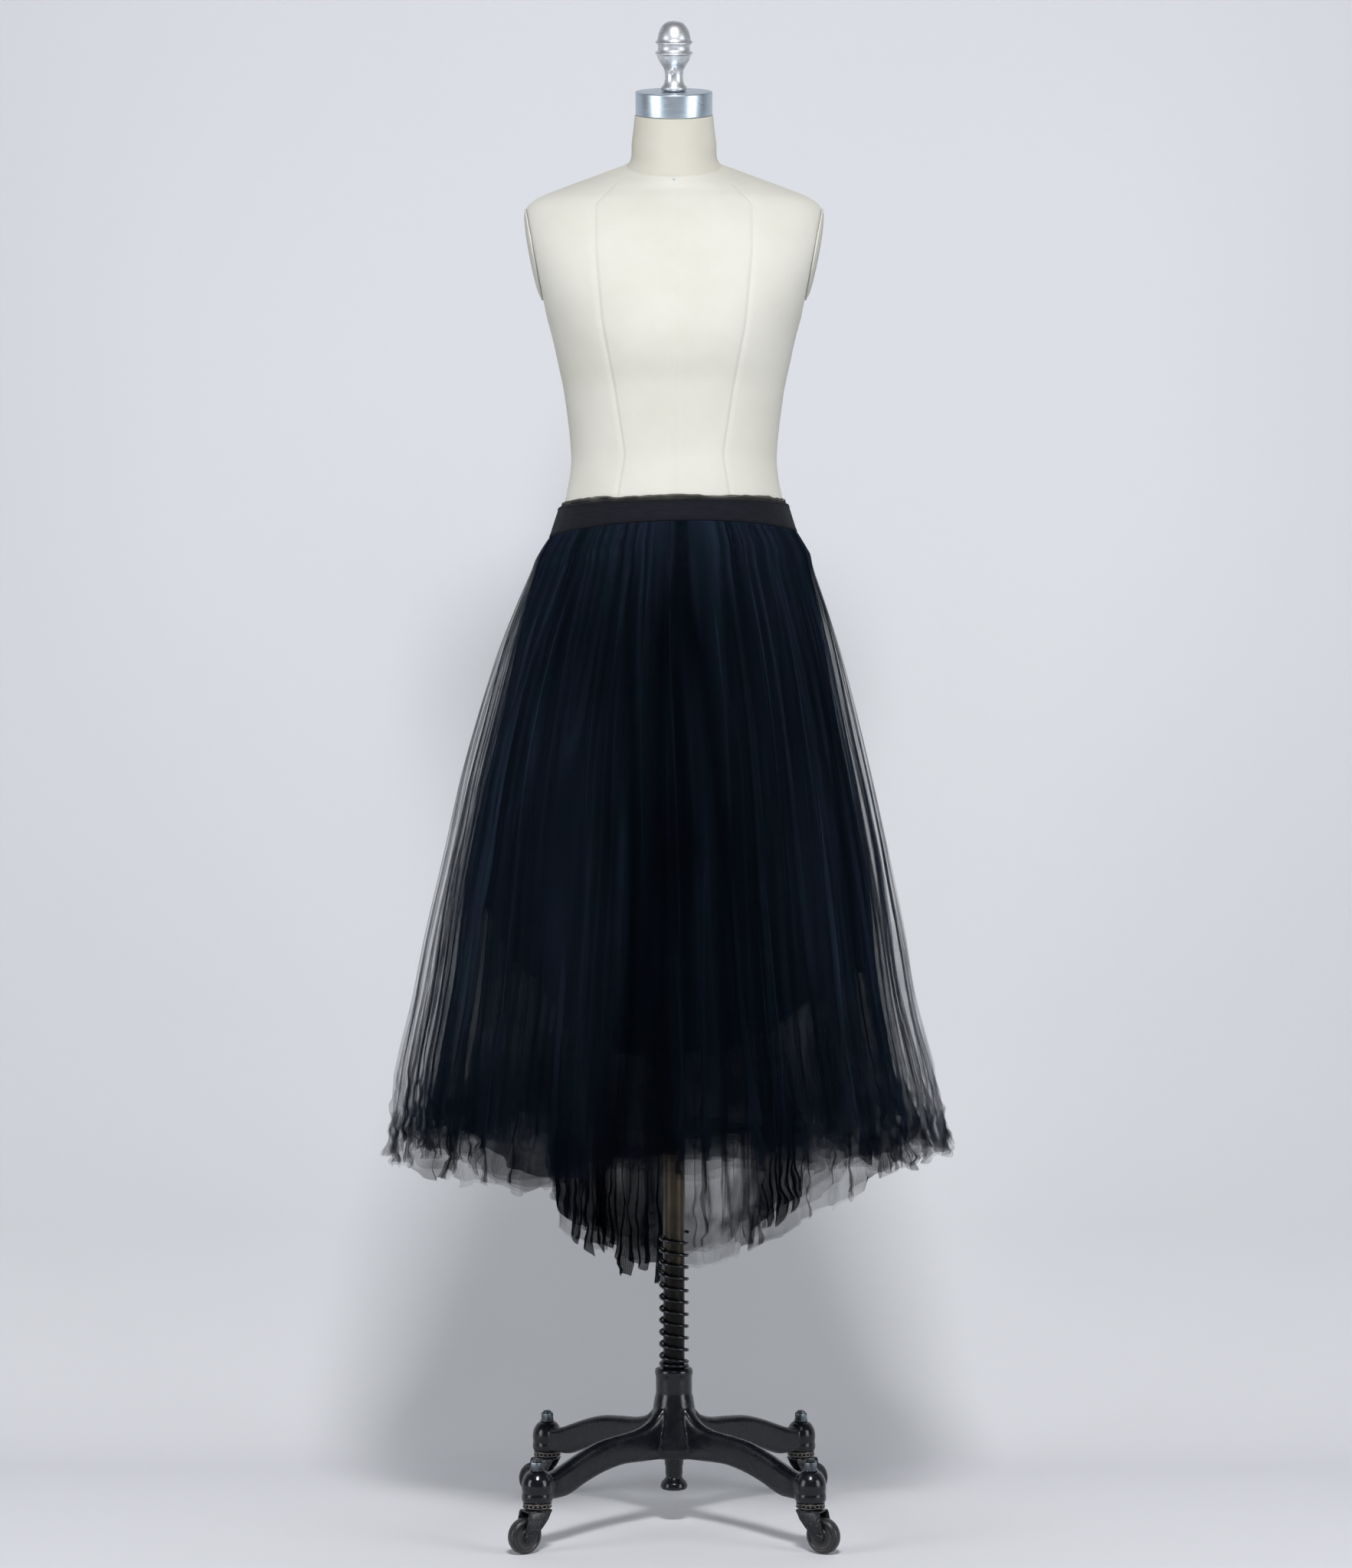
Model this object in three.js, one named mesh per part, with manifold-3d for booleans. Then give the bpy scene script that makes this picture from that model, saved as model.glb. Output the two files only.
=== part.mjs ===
// A black tulle skirt worn by a dress form on a cast stand with four swivel casters.
// Millimetres, +Z up, front towards -Y, origin on the floor under the pole.
//
// The skirt has a waistband and four gathered tubes, one inside the other: outer tulle,
// middle tulle, short lining and long inner tulle. Each tube is a front and a back panel that
// meet at the side seams. Pleated ruffles finish the hems of the outer and the inner tulle.
// All tubes are longer at the back.
import * as THREE from "three";
import { mergeVertices } from "three/addons/utils/BufferGeometryUtils.js";
import Module from "manifold-3d";

const wasm = await Module();
wasm.setup();

// ---------------------------------------------------------------- driving dimensions
const GAP = 0.3; // between pieces that touch
const DEG = Math.PI / 180;

// Dress form. Each row is one ring: height, half width, depth in front of and behind the pole,
// squareness of the ring (2 is an ellipse) and slope of the ring's plane, rising to the back.
const FORM_RINGS = [
  { z: 1000, half: 152, front: 108, back: 112, power: 2.2, slope: 0 },
  { z: 1030, half: 157, front: 111, back: 115, power: 2.2, slope: 0 },
  { z: 1060, half: 160, front: 112.5, back: 115, power: 2.2, slope: 0 },
  { z: 1100, half: 158, front: 110, back: 110, power: 2.2, slope: 0 },
  { z: 1137, half: 151.5, front: 104.5, back: 103, power: 2.2, slope: 0 },
  { z: 1170, half: 143, front: 102, back: 98, power: 2.2, slope: 0 },
  { z: 1203, half: 132.5, front: 99, back: 92, power: 2.2, slope: 0 },
  { z: 1235, half: 125, front: 95, back: 86.5, power: 2.2, slope: 0 },
  { z: 1268, half: 122, front: 92, back: 85, power: 2.2, slope: 0 },
  { z: 1340, half: 130, front: 104, back: 90, power: 2.2, slope: 0 },
  { z: 1374, half: 137, front: 116, back: 95, power: 2.2, slope: 0 },
  { z: 1410, half: 145, front: 122, back: 99, power: 2.3, slope: 0 },
  { z: 1451, half: 157, front: 119, back: 103, power: 2.4, slope: 0 },
  { z: 1503, half: 174, front: 99, back: 104, power: 2.5, slope: 0 },
  { z: 1535, half: 178.5, front: 84, back: 98, power: 2.5, slope: 0 },
  { z: 1558, half: 177, front: 72, back: 88, power: 2.4, slope: 0.05 },
  { z: 1574, half: 161, front: 63, back: 78, power: 2.3, slope: 0.12 },
  { z: 1590, half: 121, front: 54, back: 68, power: 2.2, slope: 0.25 },
  { z: 1602, half: 84, front: 50, back: 60, power: 2.1, slope: 0.36 },
  { z: 1612, half: 56, front: 47.5, back: 52, power: 2, slope: 0.44 },
  { z: 1642, half: 50, front: 46.5, back: 49, power: 2, slope: 0.36 },
  { z: 1672.5, half: 46.5, front: 45, back: 45, power: 2, slope: 0.3 },
];
const FORM_SIDES = 28; // twice the band's columns, so that the two have their corners at the same angles
const NECK_CAP = { radius: 45.7, height: 27.5, chamfer: 1.2, sides: 28, bore: 4.4 };
const ARM_PLATE = {
  bottomZ: 1451,
  bottomX: 154.5,
  lean: 0.186,
  z: 1508,
  y: 6,
  tall: 55,
  deep: 43,
  rim: 2.4,
  dome: 7,
  sides: 18,
};
const FORM_BOARD = { thick: 12, inset: 3, sides: 28, power: 2.2 };

// Waistband: it follows the form, dips at the sides and sits a little lower on the left.
const BAND = {
  ease: 0.8,
  thick: 5.6,
  topZ: 1208,
  bottomZ: 1173,
  frontRise: 10,
  topTilt: 0.015,
  bottomTilt: 0.025,
};
const BAND_EDGE = { tall: 6, thick: 1.6, inset: 1.6 };
const BAND_COLUMNS = 14;

// Stand
const POLE = { radius: 12.7, bottomZ: 128, topZ: 1200, sides: 20 };
const HUB = { topZ: 185, bottomZ: 79.4, floor: 6, bore: 13.1, sides: 16 };
const SPRING = { wire: 2.1, coil: 15.9, pitch: 14, turns: 12, lift: 0.2, sides: 4, stepsPerTurn: 8 };
const FOOT = { topRadius: 11.3, neckRadius: 9.6, rimRadius: 16.3, bottomZ: 41, sides: 16 };
const POLE_CLEARANCE = 0.5; // round the pole in the form and its board
const LEG_REACH = 221; // pole axis to caster axis, along a diagonal
const LEG_WIDTH = 21;
const BOSS = { radius: 18, bottomZ: 57.5, shoulderZ: 82, topZ: 93, bore: 5.4, sides: 16 };
const STEM = { radius: 5, rivet: 7.2, rivetTall: 1.5 };
const NUT = { radius: 7.4, tall: 12.5, crown: 3, crownInset: 2.4 };
const RACE = { radius: 16.8, tall: 7, bore: 5.4, sides: 14 };
const FORK = {
  trail: 17,
  plate: 3,
  plateLong: 30,
  plateX: 2,
  cheek: 2.3,
  cheekBackX: -13,
  eye: 6.5,
  gap: 18.4,
  axle: 3,
  axleEnd: 1.2,
};
const WHEEL = { radius: 20.65, width: 16, tread: 9, shoulder: 17.9, bore: 3.4, sides: 20 };
// Caster positions on the diagonals and the heading in which each one trails, in degrees
const CASTERS = [
  { name: "front_left", diagonal: 225, heading: 215 },
  { name: "front_right", diagonal: 315, heading: -33 },
  { name: "rear_left", diagonal: 135, heading: 155 },
  { name: "rear_right", diagonal: 45, heading: 32 },
];

// Skirt tubes. Each row is one section: height, reach to the left, right, front and back of the
// pole axis, and the half depth of the folds there.
const OUTER_TULLE = {
  seamOffset: 5.8, wall: 1, folds: 24, falls: [0.3, 0.65, 1], drift: 0.05,
  sections: [
    { z: 1137, left: 165, right: 164, front: 117, back: 116, fold: 0.8 },
    { z: 1083, left: 188, right: 182, front: 136, back: 139, fold: 2.4 },
    { z: 1028, left: 209, right: 198, front: 155, back: 163, fold: 3.2 },
    { z: 901, left: 245, right: 227, front: 191, back: 202, fold: 4.6 },
    { z: 810, left: 264, right: 246, front: 213, back: 225, fold: 6 },
    { z: 719, left: 283, right: 262, front: 232, back: 244, fold: 7.5 },
    { z: 628, left: 300, right: 278, front: 250, back: 259, fold: 8.8 },
    { z: 537, left: 320, right: 300, front: 266, back: 272, fold: 10 },
    { z: 446, left: 328, right: 315, front: 280, back: 281, fold: 10.5 },
    { z: 250, left: 332, right: 322, front: 285, back: 284, fold: 10.5 },
  ],
  hem: { front: 446, side: 450, sideTilt: 0.018, back: 262, spread: 40 },
};
const MIDDLE_TULLE = {
  seamOffset: 4.2, wall: 1, folds: 20, falls: [0.5, 1], drift: -0.04,
  sections: [
    { z: 1137, left: 161.5, right: 160.5, front: 113.5, back: 112.5, fold: 0.5 },
    { z: 1083, left: 179, right: 175, front: 129, back: 131, fold: 1.6 },
    { z: 1028, left: 195, right: 187, front: 143, back: 150, fold: 2.2 },
    { z: 901, left: 228, right: 213, front: 175, back: 186, fold: 3.4 },
    { z: 810, left: 247, right: 230, front: 196, back: 208, fold: 4.6 },
    { z: 719, left: 264, right: 246, front: 214, back: 226, fold: 5.6 },
    { z: 628, left: 279, right: 259, front: 231, back: 240, fold: 5.2 },
    { z: 537, left: 295, right: 275, front: 246, back: 252, fold: 5.8 },
    { z: 446, left: 303, right: 289, front: 258, back: 260, fold: 6.2 },
    { z: 250, left: 307, right: 297, front: 262, back: 262, fold: 6.2 },
  ],
  hem: { front: 470, side: 474, sideTilt: 0.018, back: 296, spread: 40 },
};
const LINING = {
  seamOffset: 2.7, wall: 1, folds: 10, falls: [0.5, 1], drift: 0,
  sections: [
    { z: 1137, left: 158.3, right: 157.6, front: 110.4, back: 109.4, fold: 0.4 },
    { z: 1083, left: 170.5, right: 168.5, front: 122.5, back: 123.5, fold: 1 },
    { z: 1028, left: 182, right: 178, front: 133, back: 139, fold: 1.8 },
    { z: 901, left: 211, right: 200, front: 161, back: 170, fold: 3 },
    { z: 810, left: 229, right: 215, front: 180, back: 190, fold: 4 },
    { z: 719, left: 244, right: 229, front: 195, back: 206, fold: 4.5 },
    { z: 500, left: 262, right: 246, front: 214, back: 225, fold: 5 },
  ],
  hem: { front: 690, side: 690, sideTilt: -0.15, back: 535, spread: 45 },
};
const INNER_TULLE = {
  seamOffset: 1, wall: 1, folds: 16, falls: [0.5, 1], drift: 0.05,
  sections: [
    { z: 1137, left: 155.4, right: 155.3, front: 107.6, back: 106.6, fold: 0.4 },
    { z: 1083, left: 163.8, right: 163.4, front: 116.3, back: 116.8, fold: 0.8 },
    { z: 1028, left: 171, right: 170, front: 124, back: 127.5, fold: 1.3 },
    { z: 901, left: 190, right: 184, front: 144, back: 151, fold: 2.5 },
    { z: 810, left: 203, right: 195, front: 158, back: 166, fold: 3.6 },
    { z: 719, left: 214, right: 205, front: 171, back: 179, fold: 4.4 },
    { z: 628, left: 223, right: 215, front: 183, back: 190, fold: 5.2 },
    { z: 537, left: 232, right: 224, front: 195, back: 200, fold: 5.8 },
    { z: 446, left: 240, right: 232, front: 205, back: 208, fold: 6 },
    { z: 250, left: 248, right: 242, front: 214, back: 214, fold: 6 },
  ],
  hem: { front: 484, side: 480, sideTilt: 0.02, back: 290, spread: 40 },
};
// Hem ruffles: how far each rises above and hangs below its tube's hem, and its pleat depth.
const OUTER_RUFFLE = { tube: OUTER_TULLE, above: 46, below: 9, depth: 8, wall: 1, raggedness: 7 };
const INNER_RUFFLE = { tube: INNER_TULLE, above: 52, below: 14, depth: 9, wall: 1, raggedness: 9 };
// Share of a pleat's depth at a ruffle's top, and least share and extra share at its bottom
const PLEAT = { top: 0.45, bottom: 0.75, extra: 0.5 };
// A ruffle's clearance is measured level, and square to a fold's side it is less, so it gets more.
const RUFFLE_EASE = 0.9;
const COLUMNS_PER_FOLD = 4;
// Drops below the waist seam of the rows that all tubes share, where they lie close together
const HIP_DROPS = [0, 36, 80, 150];
const SEAM_BLEND = 36; // drop over which a tube leaves the waist seam for its own sections
const HEM_LEVEL = 450; // height at which the reach of a hem's sides is taken
// The tubes' sections are a little squarer than an ellipse over the hips.
const SQUARE_HIPS = { extra: 0.2, fromZ: 700, over: 300 };
// Folds wander from even places round the ring, and some are deeper than others.
const WANDER = [
  { size: 0.03, waves: 7, start: 1.1 },
  { size: 0.02, waves: 11, start: 0.4 },
];
const DRIFT = { waves: 2, start: 0.5 };
const FOLD_DEPTH = { extra: 0.3, waves: 3, start: 0.7 };

// ---------------------------------------------------------------- materials
function material(color, roughness, metalness = 0) {
  return new THREE.MeshStandardMaterial({ color, roughness, metalness });
}
const tulle = material(0x11141b, 0.9);
const bandCloth = material(0x16161c, 0.85);
const liningCloth = material(0x0a0d13, 0.8);
const canvas = material(0xdfdccb, 0.9);
const board = material(0x9a7b52, 0.7);
const castIron = material(0x15161a, 0.35, 0.3);
const springSteel = material(0x0d0d10, 0.25, 0.5);
const steelTube = material(0x8f8575, 0.35, 0.9);
const aluminium = material(0xa9adb2, 0.35, 0.95);
const rubber = material(0x1a1a1d, 0.6);

const part = new THREE.Group();

function add(name, geometry, surface) {
  const mesh = new THREE.Mesh(geometry, surface);
  mesh.name = name;
  part.add(mesh);
  return mesh;
}

// ---------------------------------------------------------------- solids and booleans
function toManifold(geometry) {
  const bare = geometry.clone();
  bare.deleteAttribute("normal");
  bare.deleteAttribute("uv");
  const merged = mergeVertices(bare, 1e-4);
  const vertProperties = new Float32Array(merged.attributes.position.array);
  const triVerts = new Uint32Array(merged.index.array);
  return new wasm.Manifold(new wasm.Mesh({ numProp: 3, vertProperties, triVerts }));
}

function toGeometry(solid) {
  const mesh = solid.getMesh();
  const geometry = new THREE.BufferGeometry();
  geometry.setAttribute("position", new THREE.BufferAttribute(new Float32Array(mesh.vertProperties), 3));
  geometry.setIndex(new THREE.BufferAttribute(new Uint32Array(mesh.triVerts), 1));
  return geometry;
}

function join(...geometries) {
  return toGeometry(geometries.map(toManifold).reduce((sum, next) => sum.add(next)));
}

function cut(body, ...tools) {
  const left = tools.map(toManifold).reduce((rest, tool) => rest.subtract(tool), toManifold(body));
  return toGeometry(left);
}

// A solid of revolution about Z from a closed profile of [radius, height] points.
function turned(profile, sides, start = 0) {
  const points = profile.map(([r, z]) => new THREE.Vector2(r, z));
  points.push(points[0].clone());
  return new THREE.LatheGeometry(points, sides, start).rotateX(Math.PI / 2);
}

function rod(radius, bottom, top, sides) {
  const upright = new THREE.CylinderGeometry(radius, radius, top - bottom, sides).rotateX(Math.PI / 2);
  return upright.translate(0, 0, (top + bottom) / 2);
}

// ---------------------------------------------------------------- rings and sections
// Value of a column at height z, from rows in any order of height, by a smooth curve.
function along(rows, column, z) {
  const up = [...rows].sort((a, b) => a.z - b.z);
  if (z <= up[0].z) return up[0][column];
  if (z >= up[up.length - 1].z) return up[up.length - 1][column];
  const i = up.findIndex((row) => row.z > z) - 1;
  const slope = (k) => {
    const low = up[Math.max(k - 1, 0)];
    const high = up[Math.min(k + 1, up.length - 1)];
    return (high[column] - low[column]) / (high.z - low.z);
  };
  const span = up[i + 1].z - up[i].z;
  const s = (z - up[i].z) / span;
  const fromLow = (1 + 2 * s) * (1 - s) ** 2 * up[i][column] + s * (1 - s) ** 2 * span * slope(i);
  const fromHigh = s * s * (3 - 2 * s) * up[i + 1][column] + s * s * (s - 1) * span * slope(i + 1);
  return fromLow + fromHigh;
}

const smooth = (x) => {
  const s = Math.min(Math.max(x, 0), 1);
  return s * s * (3 - 2 * s);
};

// A point of a ring at an angle: its quarters have their own reach.
function ringPoint(left, right, front, back, power, angle) {
  const c = Math.cos(angle);
  const s = Math.sin(angle);
  const bend = (v) => Math.sign(v) * Math.abs(v) ** (2 / power);
  return [(c > 0 ? right : left) * bend(c), (s > 0 ? back : front) * bend(s)];
}

function formPoint(angle, z, ease) {
  const half = along(FORM_RINGS, "half", z) + ease;
  const front = along(FORM_RINGS, "front", z) + ease;
  const back = along(FORM_RINGS, "back", z) + ease;
  return ringPoint(half, half, front, back, along(FORM_RINGS, "power", z), angle);
}

// Height of the waistband's two edges at a point of the ring.
const bandTop = (x) => BAND.topZ + BAND.topTilt * x;
const ahead = (angle) => Math.max(0, -Math.sin(angle)) ** 2; // 1 in front, 0 at the sides and back
const bandBottom = (angle, x) => BAND.bottomZ + BAND.frontRise * ahead(angle) + BAND.bottomTilt * x;

// Folds are spaced unevenly round the ring but meet the side seams at 0 and 180 degrees.
function foldAngle(t, drift, fall) {
  const wander = WANDER.reduce((sum, wave) => sum + wave.size * Math.sin(wave.waves * t + wave.start), 0);
  return t + Math.sin(t) * (wander + drift * fall * Math.sin(DRIFT.waves * t + DRIFT.start));
}

function foldDepth(t) {
  return 1 + FOLD_DEPTH.extra * Math.sin(FOLD_DEPTH.waves * t + FOLD_DEPTH.start) * Math.sin(t);
}

function hemHeight(hem, angle, x) {
  const fromBack = Math.atan2(Math.cos(angle), Math.sin(angle)) / DEG;
  const dip = Math.exp(-((fromBack / hem.spread) ** 2));
  const level = hem.side + (hem.front - hem.side) * ahead(angle) + (hem.back - hem.side) * dip;
  return level + hem.sideTilt * x * (1 - dip);
}

// The middle line of a tube's cloth at ring parameter t. A row is a drop below the waist seam, or
// a fraction of the fall from the last shared row to the hem, with a lift above that hem.
const hipRows = HIP_DROPS.map((drop) => ({ drop }));
const tubeRows = (tube) => [...hipRows, ...tube.falls.map((fall) => ({ fall, lift: 0 }))];

function tubePoint(tube, t, row) {
  const angle = foldAngle(t, tube.drift, row.fall ?? 0);
  const hemX = along(tube.sections, Math.cos(angle) > 0 ? "right" : "left", HEM_LEVEL) * Math.cos(angle);
  const [seamX] = formPoint(angle, BAND.bottomZ, 0);
  const top = bandBottom(angle, seamX) - GAP;
  const lastShared = top - HIP_DROPS[HIP_DROPS.length - 1];
  const hem = hemHeight(tube.hem, angle, hemX);
  const isShared = row.fall === undefined;
  const z = isShared ? top - row.drop : lastShared + (hem - lastShared) * row.fall + row.lift;
  const own = smooth((top - z) / SEAM_BLEND);
  const reach = (side) => along(tube.sections, side, z);
  const [fx, fy] = formPoint(angle, z, tube.seamOffset);
  const power = 2 + SQUARE_HIPS.extra * smooth((z - SQUARE_HIPS.fromZ) / SQUARE_HIPS.over);
  const [sx, sy] = ringPoint(reach("left"), reach("right"), reach("front"), reach("back"), power, angle);
  const x = fx + (sx - fx) * own;
  const y = fy + (sy - fy) * own;
  const out = Math.hypot(x, y);
  const fold = along(tube.sections, "fold", z) * own * foldDepth(t) * Math.cos(tube.folds * t);
  return [x * (1 + fold / out), y * (1 + fold / out), z];
}

// ---------------------------------------------------------------- cloth walls
// A wall with a middle line point(i, j) for each row i and column j. Its edges are closed, and its
// ends stand square to the side seams.
function clothWall(rows, columns, thick, point) {
  const corners = [];
  for (const side of [1, -1]) {
    for (let i = 0; i <= rows; i++) {
      for (let j = 0; j <= columns; j++) {
        const p = point(i, j);
        let out = [Math.sign(p[0]), 0];
        if (j > 0 && j < columns) {
          const before = point(i, j - 1);
          const after = point(i, j + 1);
          const run = Math.hypot(after[0] - before[0], after[1] - before[1]);
          out = [(after[1] - before[1]) / run, -(after[0] - before[0]) / run];
        }
        corners.push(p[0] + (side * out[0] * thick) / 2, p[1] + (side * out[1] * thick) / 2, p[2]);
      }
    }
  }
  const inner = (rows + 1) * (columns + 1);
  const at = (i, j, k) => k * inner + i * (columns + 1) + j;
  const faces = [];
  const quad = (a, b, c, d) => faces.push(a, b, c, a, c, d);
  for (let i = 0; i < rows; i++) {
    for (let j = 0; j < columns; j++) {
      quad(at(i, j, 0), at(i + 1, j, 0), at(i + 1, j + 1, 0), at(i, j + 1, 0));
      quad(at(i, j, 1), at(i, j + 1, 1), at(i + 1, j + 1, 1), at(i + 1, j, 1));
    }
  }
  for (let j = 0; j < columns; j++) {
    quad(at(0, j, 0), at(0, j + 1, 0), at(0, j + 1, 1), at(0, j, 1));
    quad(at(rows, j, 0), at(rows, j, 1), at(rows, j + 1, 1), at(rows, j + 1, 0));
  }
  for (let i = 0; i < rows; i++) {
    quad(at(i, 0, 0), at(i, 0, 1), at(i + 1, 0, 1), at(i + 1, 0, 0));
    quad(at(i, columns, 0), at(i + 1, columns, 0), at(i + 1, columns, 1), at(i, columns, 1));
  }
  const geometry = new THREE.BufferGeometry();
  geometry.setAttribute("position", new THREE.Float32BufferAttribute(corners, 3));
  geometry.setIndex(faces);
  return geometry;
}

// Ring parameters of a front or back panel's columns, pulled in by half a gap at each side seam.
const PANELS = [
  { side: "back", start: 0 },
  { side: "front", start: Math.PI },
];
function columnParameter(start, columns, j, reach) {
  const pull = GAP / 2 / reach;
  if (j === 0) return start + pull;
  if (j === columns) return start + Math.PI - pull;
  return start + (Math.PI * j) / columns;
}

function tubePanels(name, tube, surface) {
  const columns = (tube.folds / 2) * COLUMNS_PER_FOLD;
  const rows = tubeRows(tube);
  for (const panel of PANELS) {
    const point = (i, j) => {
      const reach = Math.abs(tubePoint(tube, panel.start, rows[i])[0]);
      return tubePoint(tube, columnParameter(panel.start, columns, j, reach), rows[i]);
    };
    add(`${name}_${panel.side}`, clothWall(rows.length - 1, columns, tube.wall, point), surface);
  }
}

// A repeatable unevenness from 0 to 1 for column k.
const uneven = (k) => {
  const v = Math.sin(k * 12.9898 + 4.137) * 43758.5453;
  return v - Math.floor(v);
};

// A ruffle is made from its tube's own points, moved out, with a pleat on every second column.
function rufflePanels(name, ruffle, surface) {
  const tube = ruffle.tube;
  const columns = (tube.folds / 2) * COLUMNS_PER_FOLD;
  const clear = (tube.wall + ruffle.wall) / 2 + GAP + RUFFLE_EASE;
  for (const panel of PANELS) {
    const point = (i, j) => {
      const reach = Math.abs(tubePoint(tube, panel.start, { fall: 1, lift: 0 })[0]);
      const t = columnParameter(panel.start, columns, j, reach);
      const ragged = ruffle.raggedness * uneven(j + columns * panel.start);
      const lift = i === 0 ? ruffle.above : -ruffle.below - ragged;
      const p = tubePoint(tube, t, { fall: 1, lift });
      const out = Math.hypot(p[0], p[1]);
      const share = i === 0 ? PLEAT.top : PLEAT.bottom + PLEAT.extra * uneven(3 * j);
      const move = clear + (j % 2 === 1 ? ruffle.depth * share : 0);
      return [p[0] * (1 + move / out), p[1] * (1 + move / out), p[2]];
    };
    add(`${name}_${panel.side}`, clothWall(1, columns, ruffle.wall, point), surface);
  }
}

function waistband() {
  const reach = along(FORM_RINGS, "half", BAND.bottomZ);
  for (const panel of PANELS) {
    const angleAt = (j) => columnParameter(panel.start, BAND_COLUMNS, j, reach);
    const wallPoint = (j, z, offset) => [...formPoint(angleAt(j), z, offset), z];
    const band = (i, j) => {
      const angle = angleAt(j);
      const [x] = formPoint(angle, BAND.topZ, 0);
      const [seamX] = formPoint(angle, BAND.bottomZ, 0);
      const top = bandTop(x);
      const bottom = bandBottom(angle, seamX);
      return wallPoint(j, top + ((bottom - top) * i) / 2, BAND.ease + BAND.thick / 2);
    };
    const edge = (i, j) => {
      const [x] = formPoint(angleAt(j), BAND.topZ, 0);
      const bottom = bandTop(x) + GAP;
      return wallPoint(j, i === 0 ? bottom + BAND_EDGE.tall : bottom, BAND.ease + BAND_EDGE.inset);
    };
    add(`waistband_${panel.side}`, clothWall(2, BAND_COLUMNS, BAND.thick, band), bandCloth);
    add(`waist_edge_${panel.side}`, clothWall(1, BAND_COLUMNS, BAND_EDGE.thick, edge), tulle);
  }
}

// ---------------------------------------------------------------- dress form
function loft(rings, sides) {
  const corners = [];
  for (const ring of rings) {
    for (let k = 0; k < sides; k++) {
      const angle = (k / sides) * 2 * Math.PI;
      const [x, y] = ringPoint(ring.half, ring.half, ring.front, ring.back, ring.power, angle);
      corners.push(x, y, ring.z + ring.slope * y);
    }
  }
  const first = rings[0];
  const last = rings[rings.length - 1];
  corners.push(0, 0, first.z, 0, 0, last.z);
  const bottom = rings.length * sides;
  const faces = [];
  for (let k = 0; k < sides; k++) {
    const next = (k + 1) % sides;
    for (let i = 0; i + 1 < rings.length; i++) {
      const here = i * sides + k;
      const beside = i * sides + next;
      faces.push(here, beside, beside + sides, here, beside + sides, here + sides);
    }
    const top = (rings.length - 1) * sides;
    faces.push(bottom, next, k, bottom + 1, top + k, top + next);
  }
  const geometry = new THREE.BufferGeometry();
  geometry.setAttribute("position", new THREE.Float32BufferAttribute(corners, 3));
  geometry.setIndex(faces);
  return geometry;
}

const armPlateX = ARM_PLATE.bottomX + ARM_PLATE.lean * (ARM_PLATE.z - ARM_PLATE.bottomZ);
const FORM_BOTTOM = FORM_RINGS[0];
const NECK_TOP = FORM_RINGS[FORM_RINGS.length - 1];

function torso() {
  const poleBore = rod(POLE.radius + POLE_CLEARANCE, FORM_BOTTOM.z - 5, POLE.topZ + 5, POLE.sides);
  const block = 60;
  const sideCuts = [1, -1].map((side) => {
    const slab = new THREE.BoxGeometry(block, 4 * block, 3 * block).translate(block / 2, 0, 0);
    slab.rotateY(Math.atan(ARM_PLATE.lean));
    slab.translate(armPlateX, 0, ARM_PLATE.z);
    return side > 0 ? slab : slab.rotateZ(Math.PI);
  });
  const spigotBore = ontoNeck(rod(NECK_CAP.bore, -12, 12, 12));
  add("form_torso", cut(loft(FORM_RINGS, FORM_SIDES), poleBore, spigotBore, ...sideCuts), canvas);
}

function armPlates() {
  const profile = [
    [0, 0],
    [1, 0],
    [1, ARM_PLATE.rim],
    [0.72, ARM_PLATE.dome * 0.72],
    [0.38, ARM_PLATE.dome * 0.95],
    [0, ARM_PLATE.dome],
  ];
  for (const side of [1, -1]) {
    const plate = turned(profile, ARM_PLATE.sides).scale(ARM_PLATE.tall, ARM_PLATE.deep, 1);
    plate.translate(0, 0, GAP).rotateY(Math.PI / 2 + Math.atan(ARM_PLATE.lean));
    plate.translate(armPlateX, 0, ARM_PLATE.z);
    if (side < 0) plate.rotateZ(Math.PI);
    plate.translate(0, ARM_PLATE.y, 0);
    add(side > 0 ? "arm_plate_right" : "arm_plate_left", plate, canvas);
  }
}

// The neck leans forward, and what stands on it leans with it.
const NECK_LEAN = Math.atan(NECK_TOP.slope);
const ontoNeck = (geometry) => geometry.rotateX(NECK_LEAN).translate(0, 0, NECK_TOP.z + GAP);

function neckCap() {
  const { radius, height, chamfer, bore, sides } = NECK_CAP;
  const profile = [
    [0, 0],
    [radius, 0],
    [radius, height - chamfer],
    [radius - chamfer, height],
    [0, height],
  ];
  add("neck_cap", ontoNeck(cut(turned(profile, sides), rod(bore, -10, height + 10, 12))), aluminium);
}

// Finial: radius and height above its foot
const FINIAL_SIDES = 16;
const FINIAL_PROFILE = [
  [0, -32], [4, -32], [4, 0], [13.2, 0.6], [15.1, 3.6], [13.8, 7.2], [11.5, 10.5], [10.9, 21],
  [12.4, 27], [16, 32.3], [19, 38], [20.4, 42.6], [22.1, 45.4], [19.2, 48.8], [18.9, 52],
  [22.1, 57.6], [19.4, 61.5], [18.4, 66], [16.2, 72.6], [11.5, 78.2], [6, 80.8], [0, 81.4],
];
const FINIAL_SCREW = {
  z: 24,
  radius: 2.5,
  socket: 2.9,
  head: 3.4,
  innerEnd: 6.4,
  headFrom: 13,
  headTo: 15.6,
};

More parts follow.
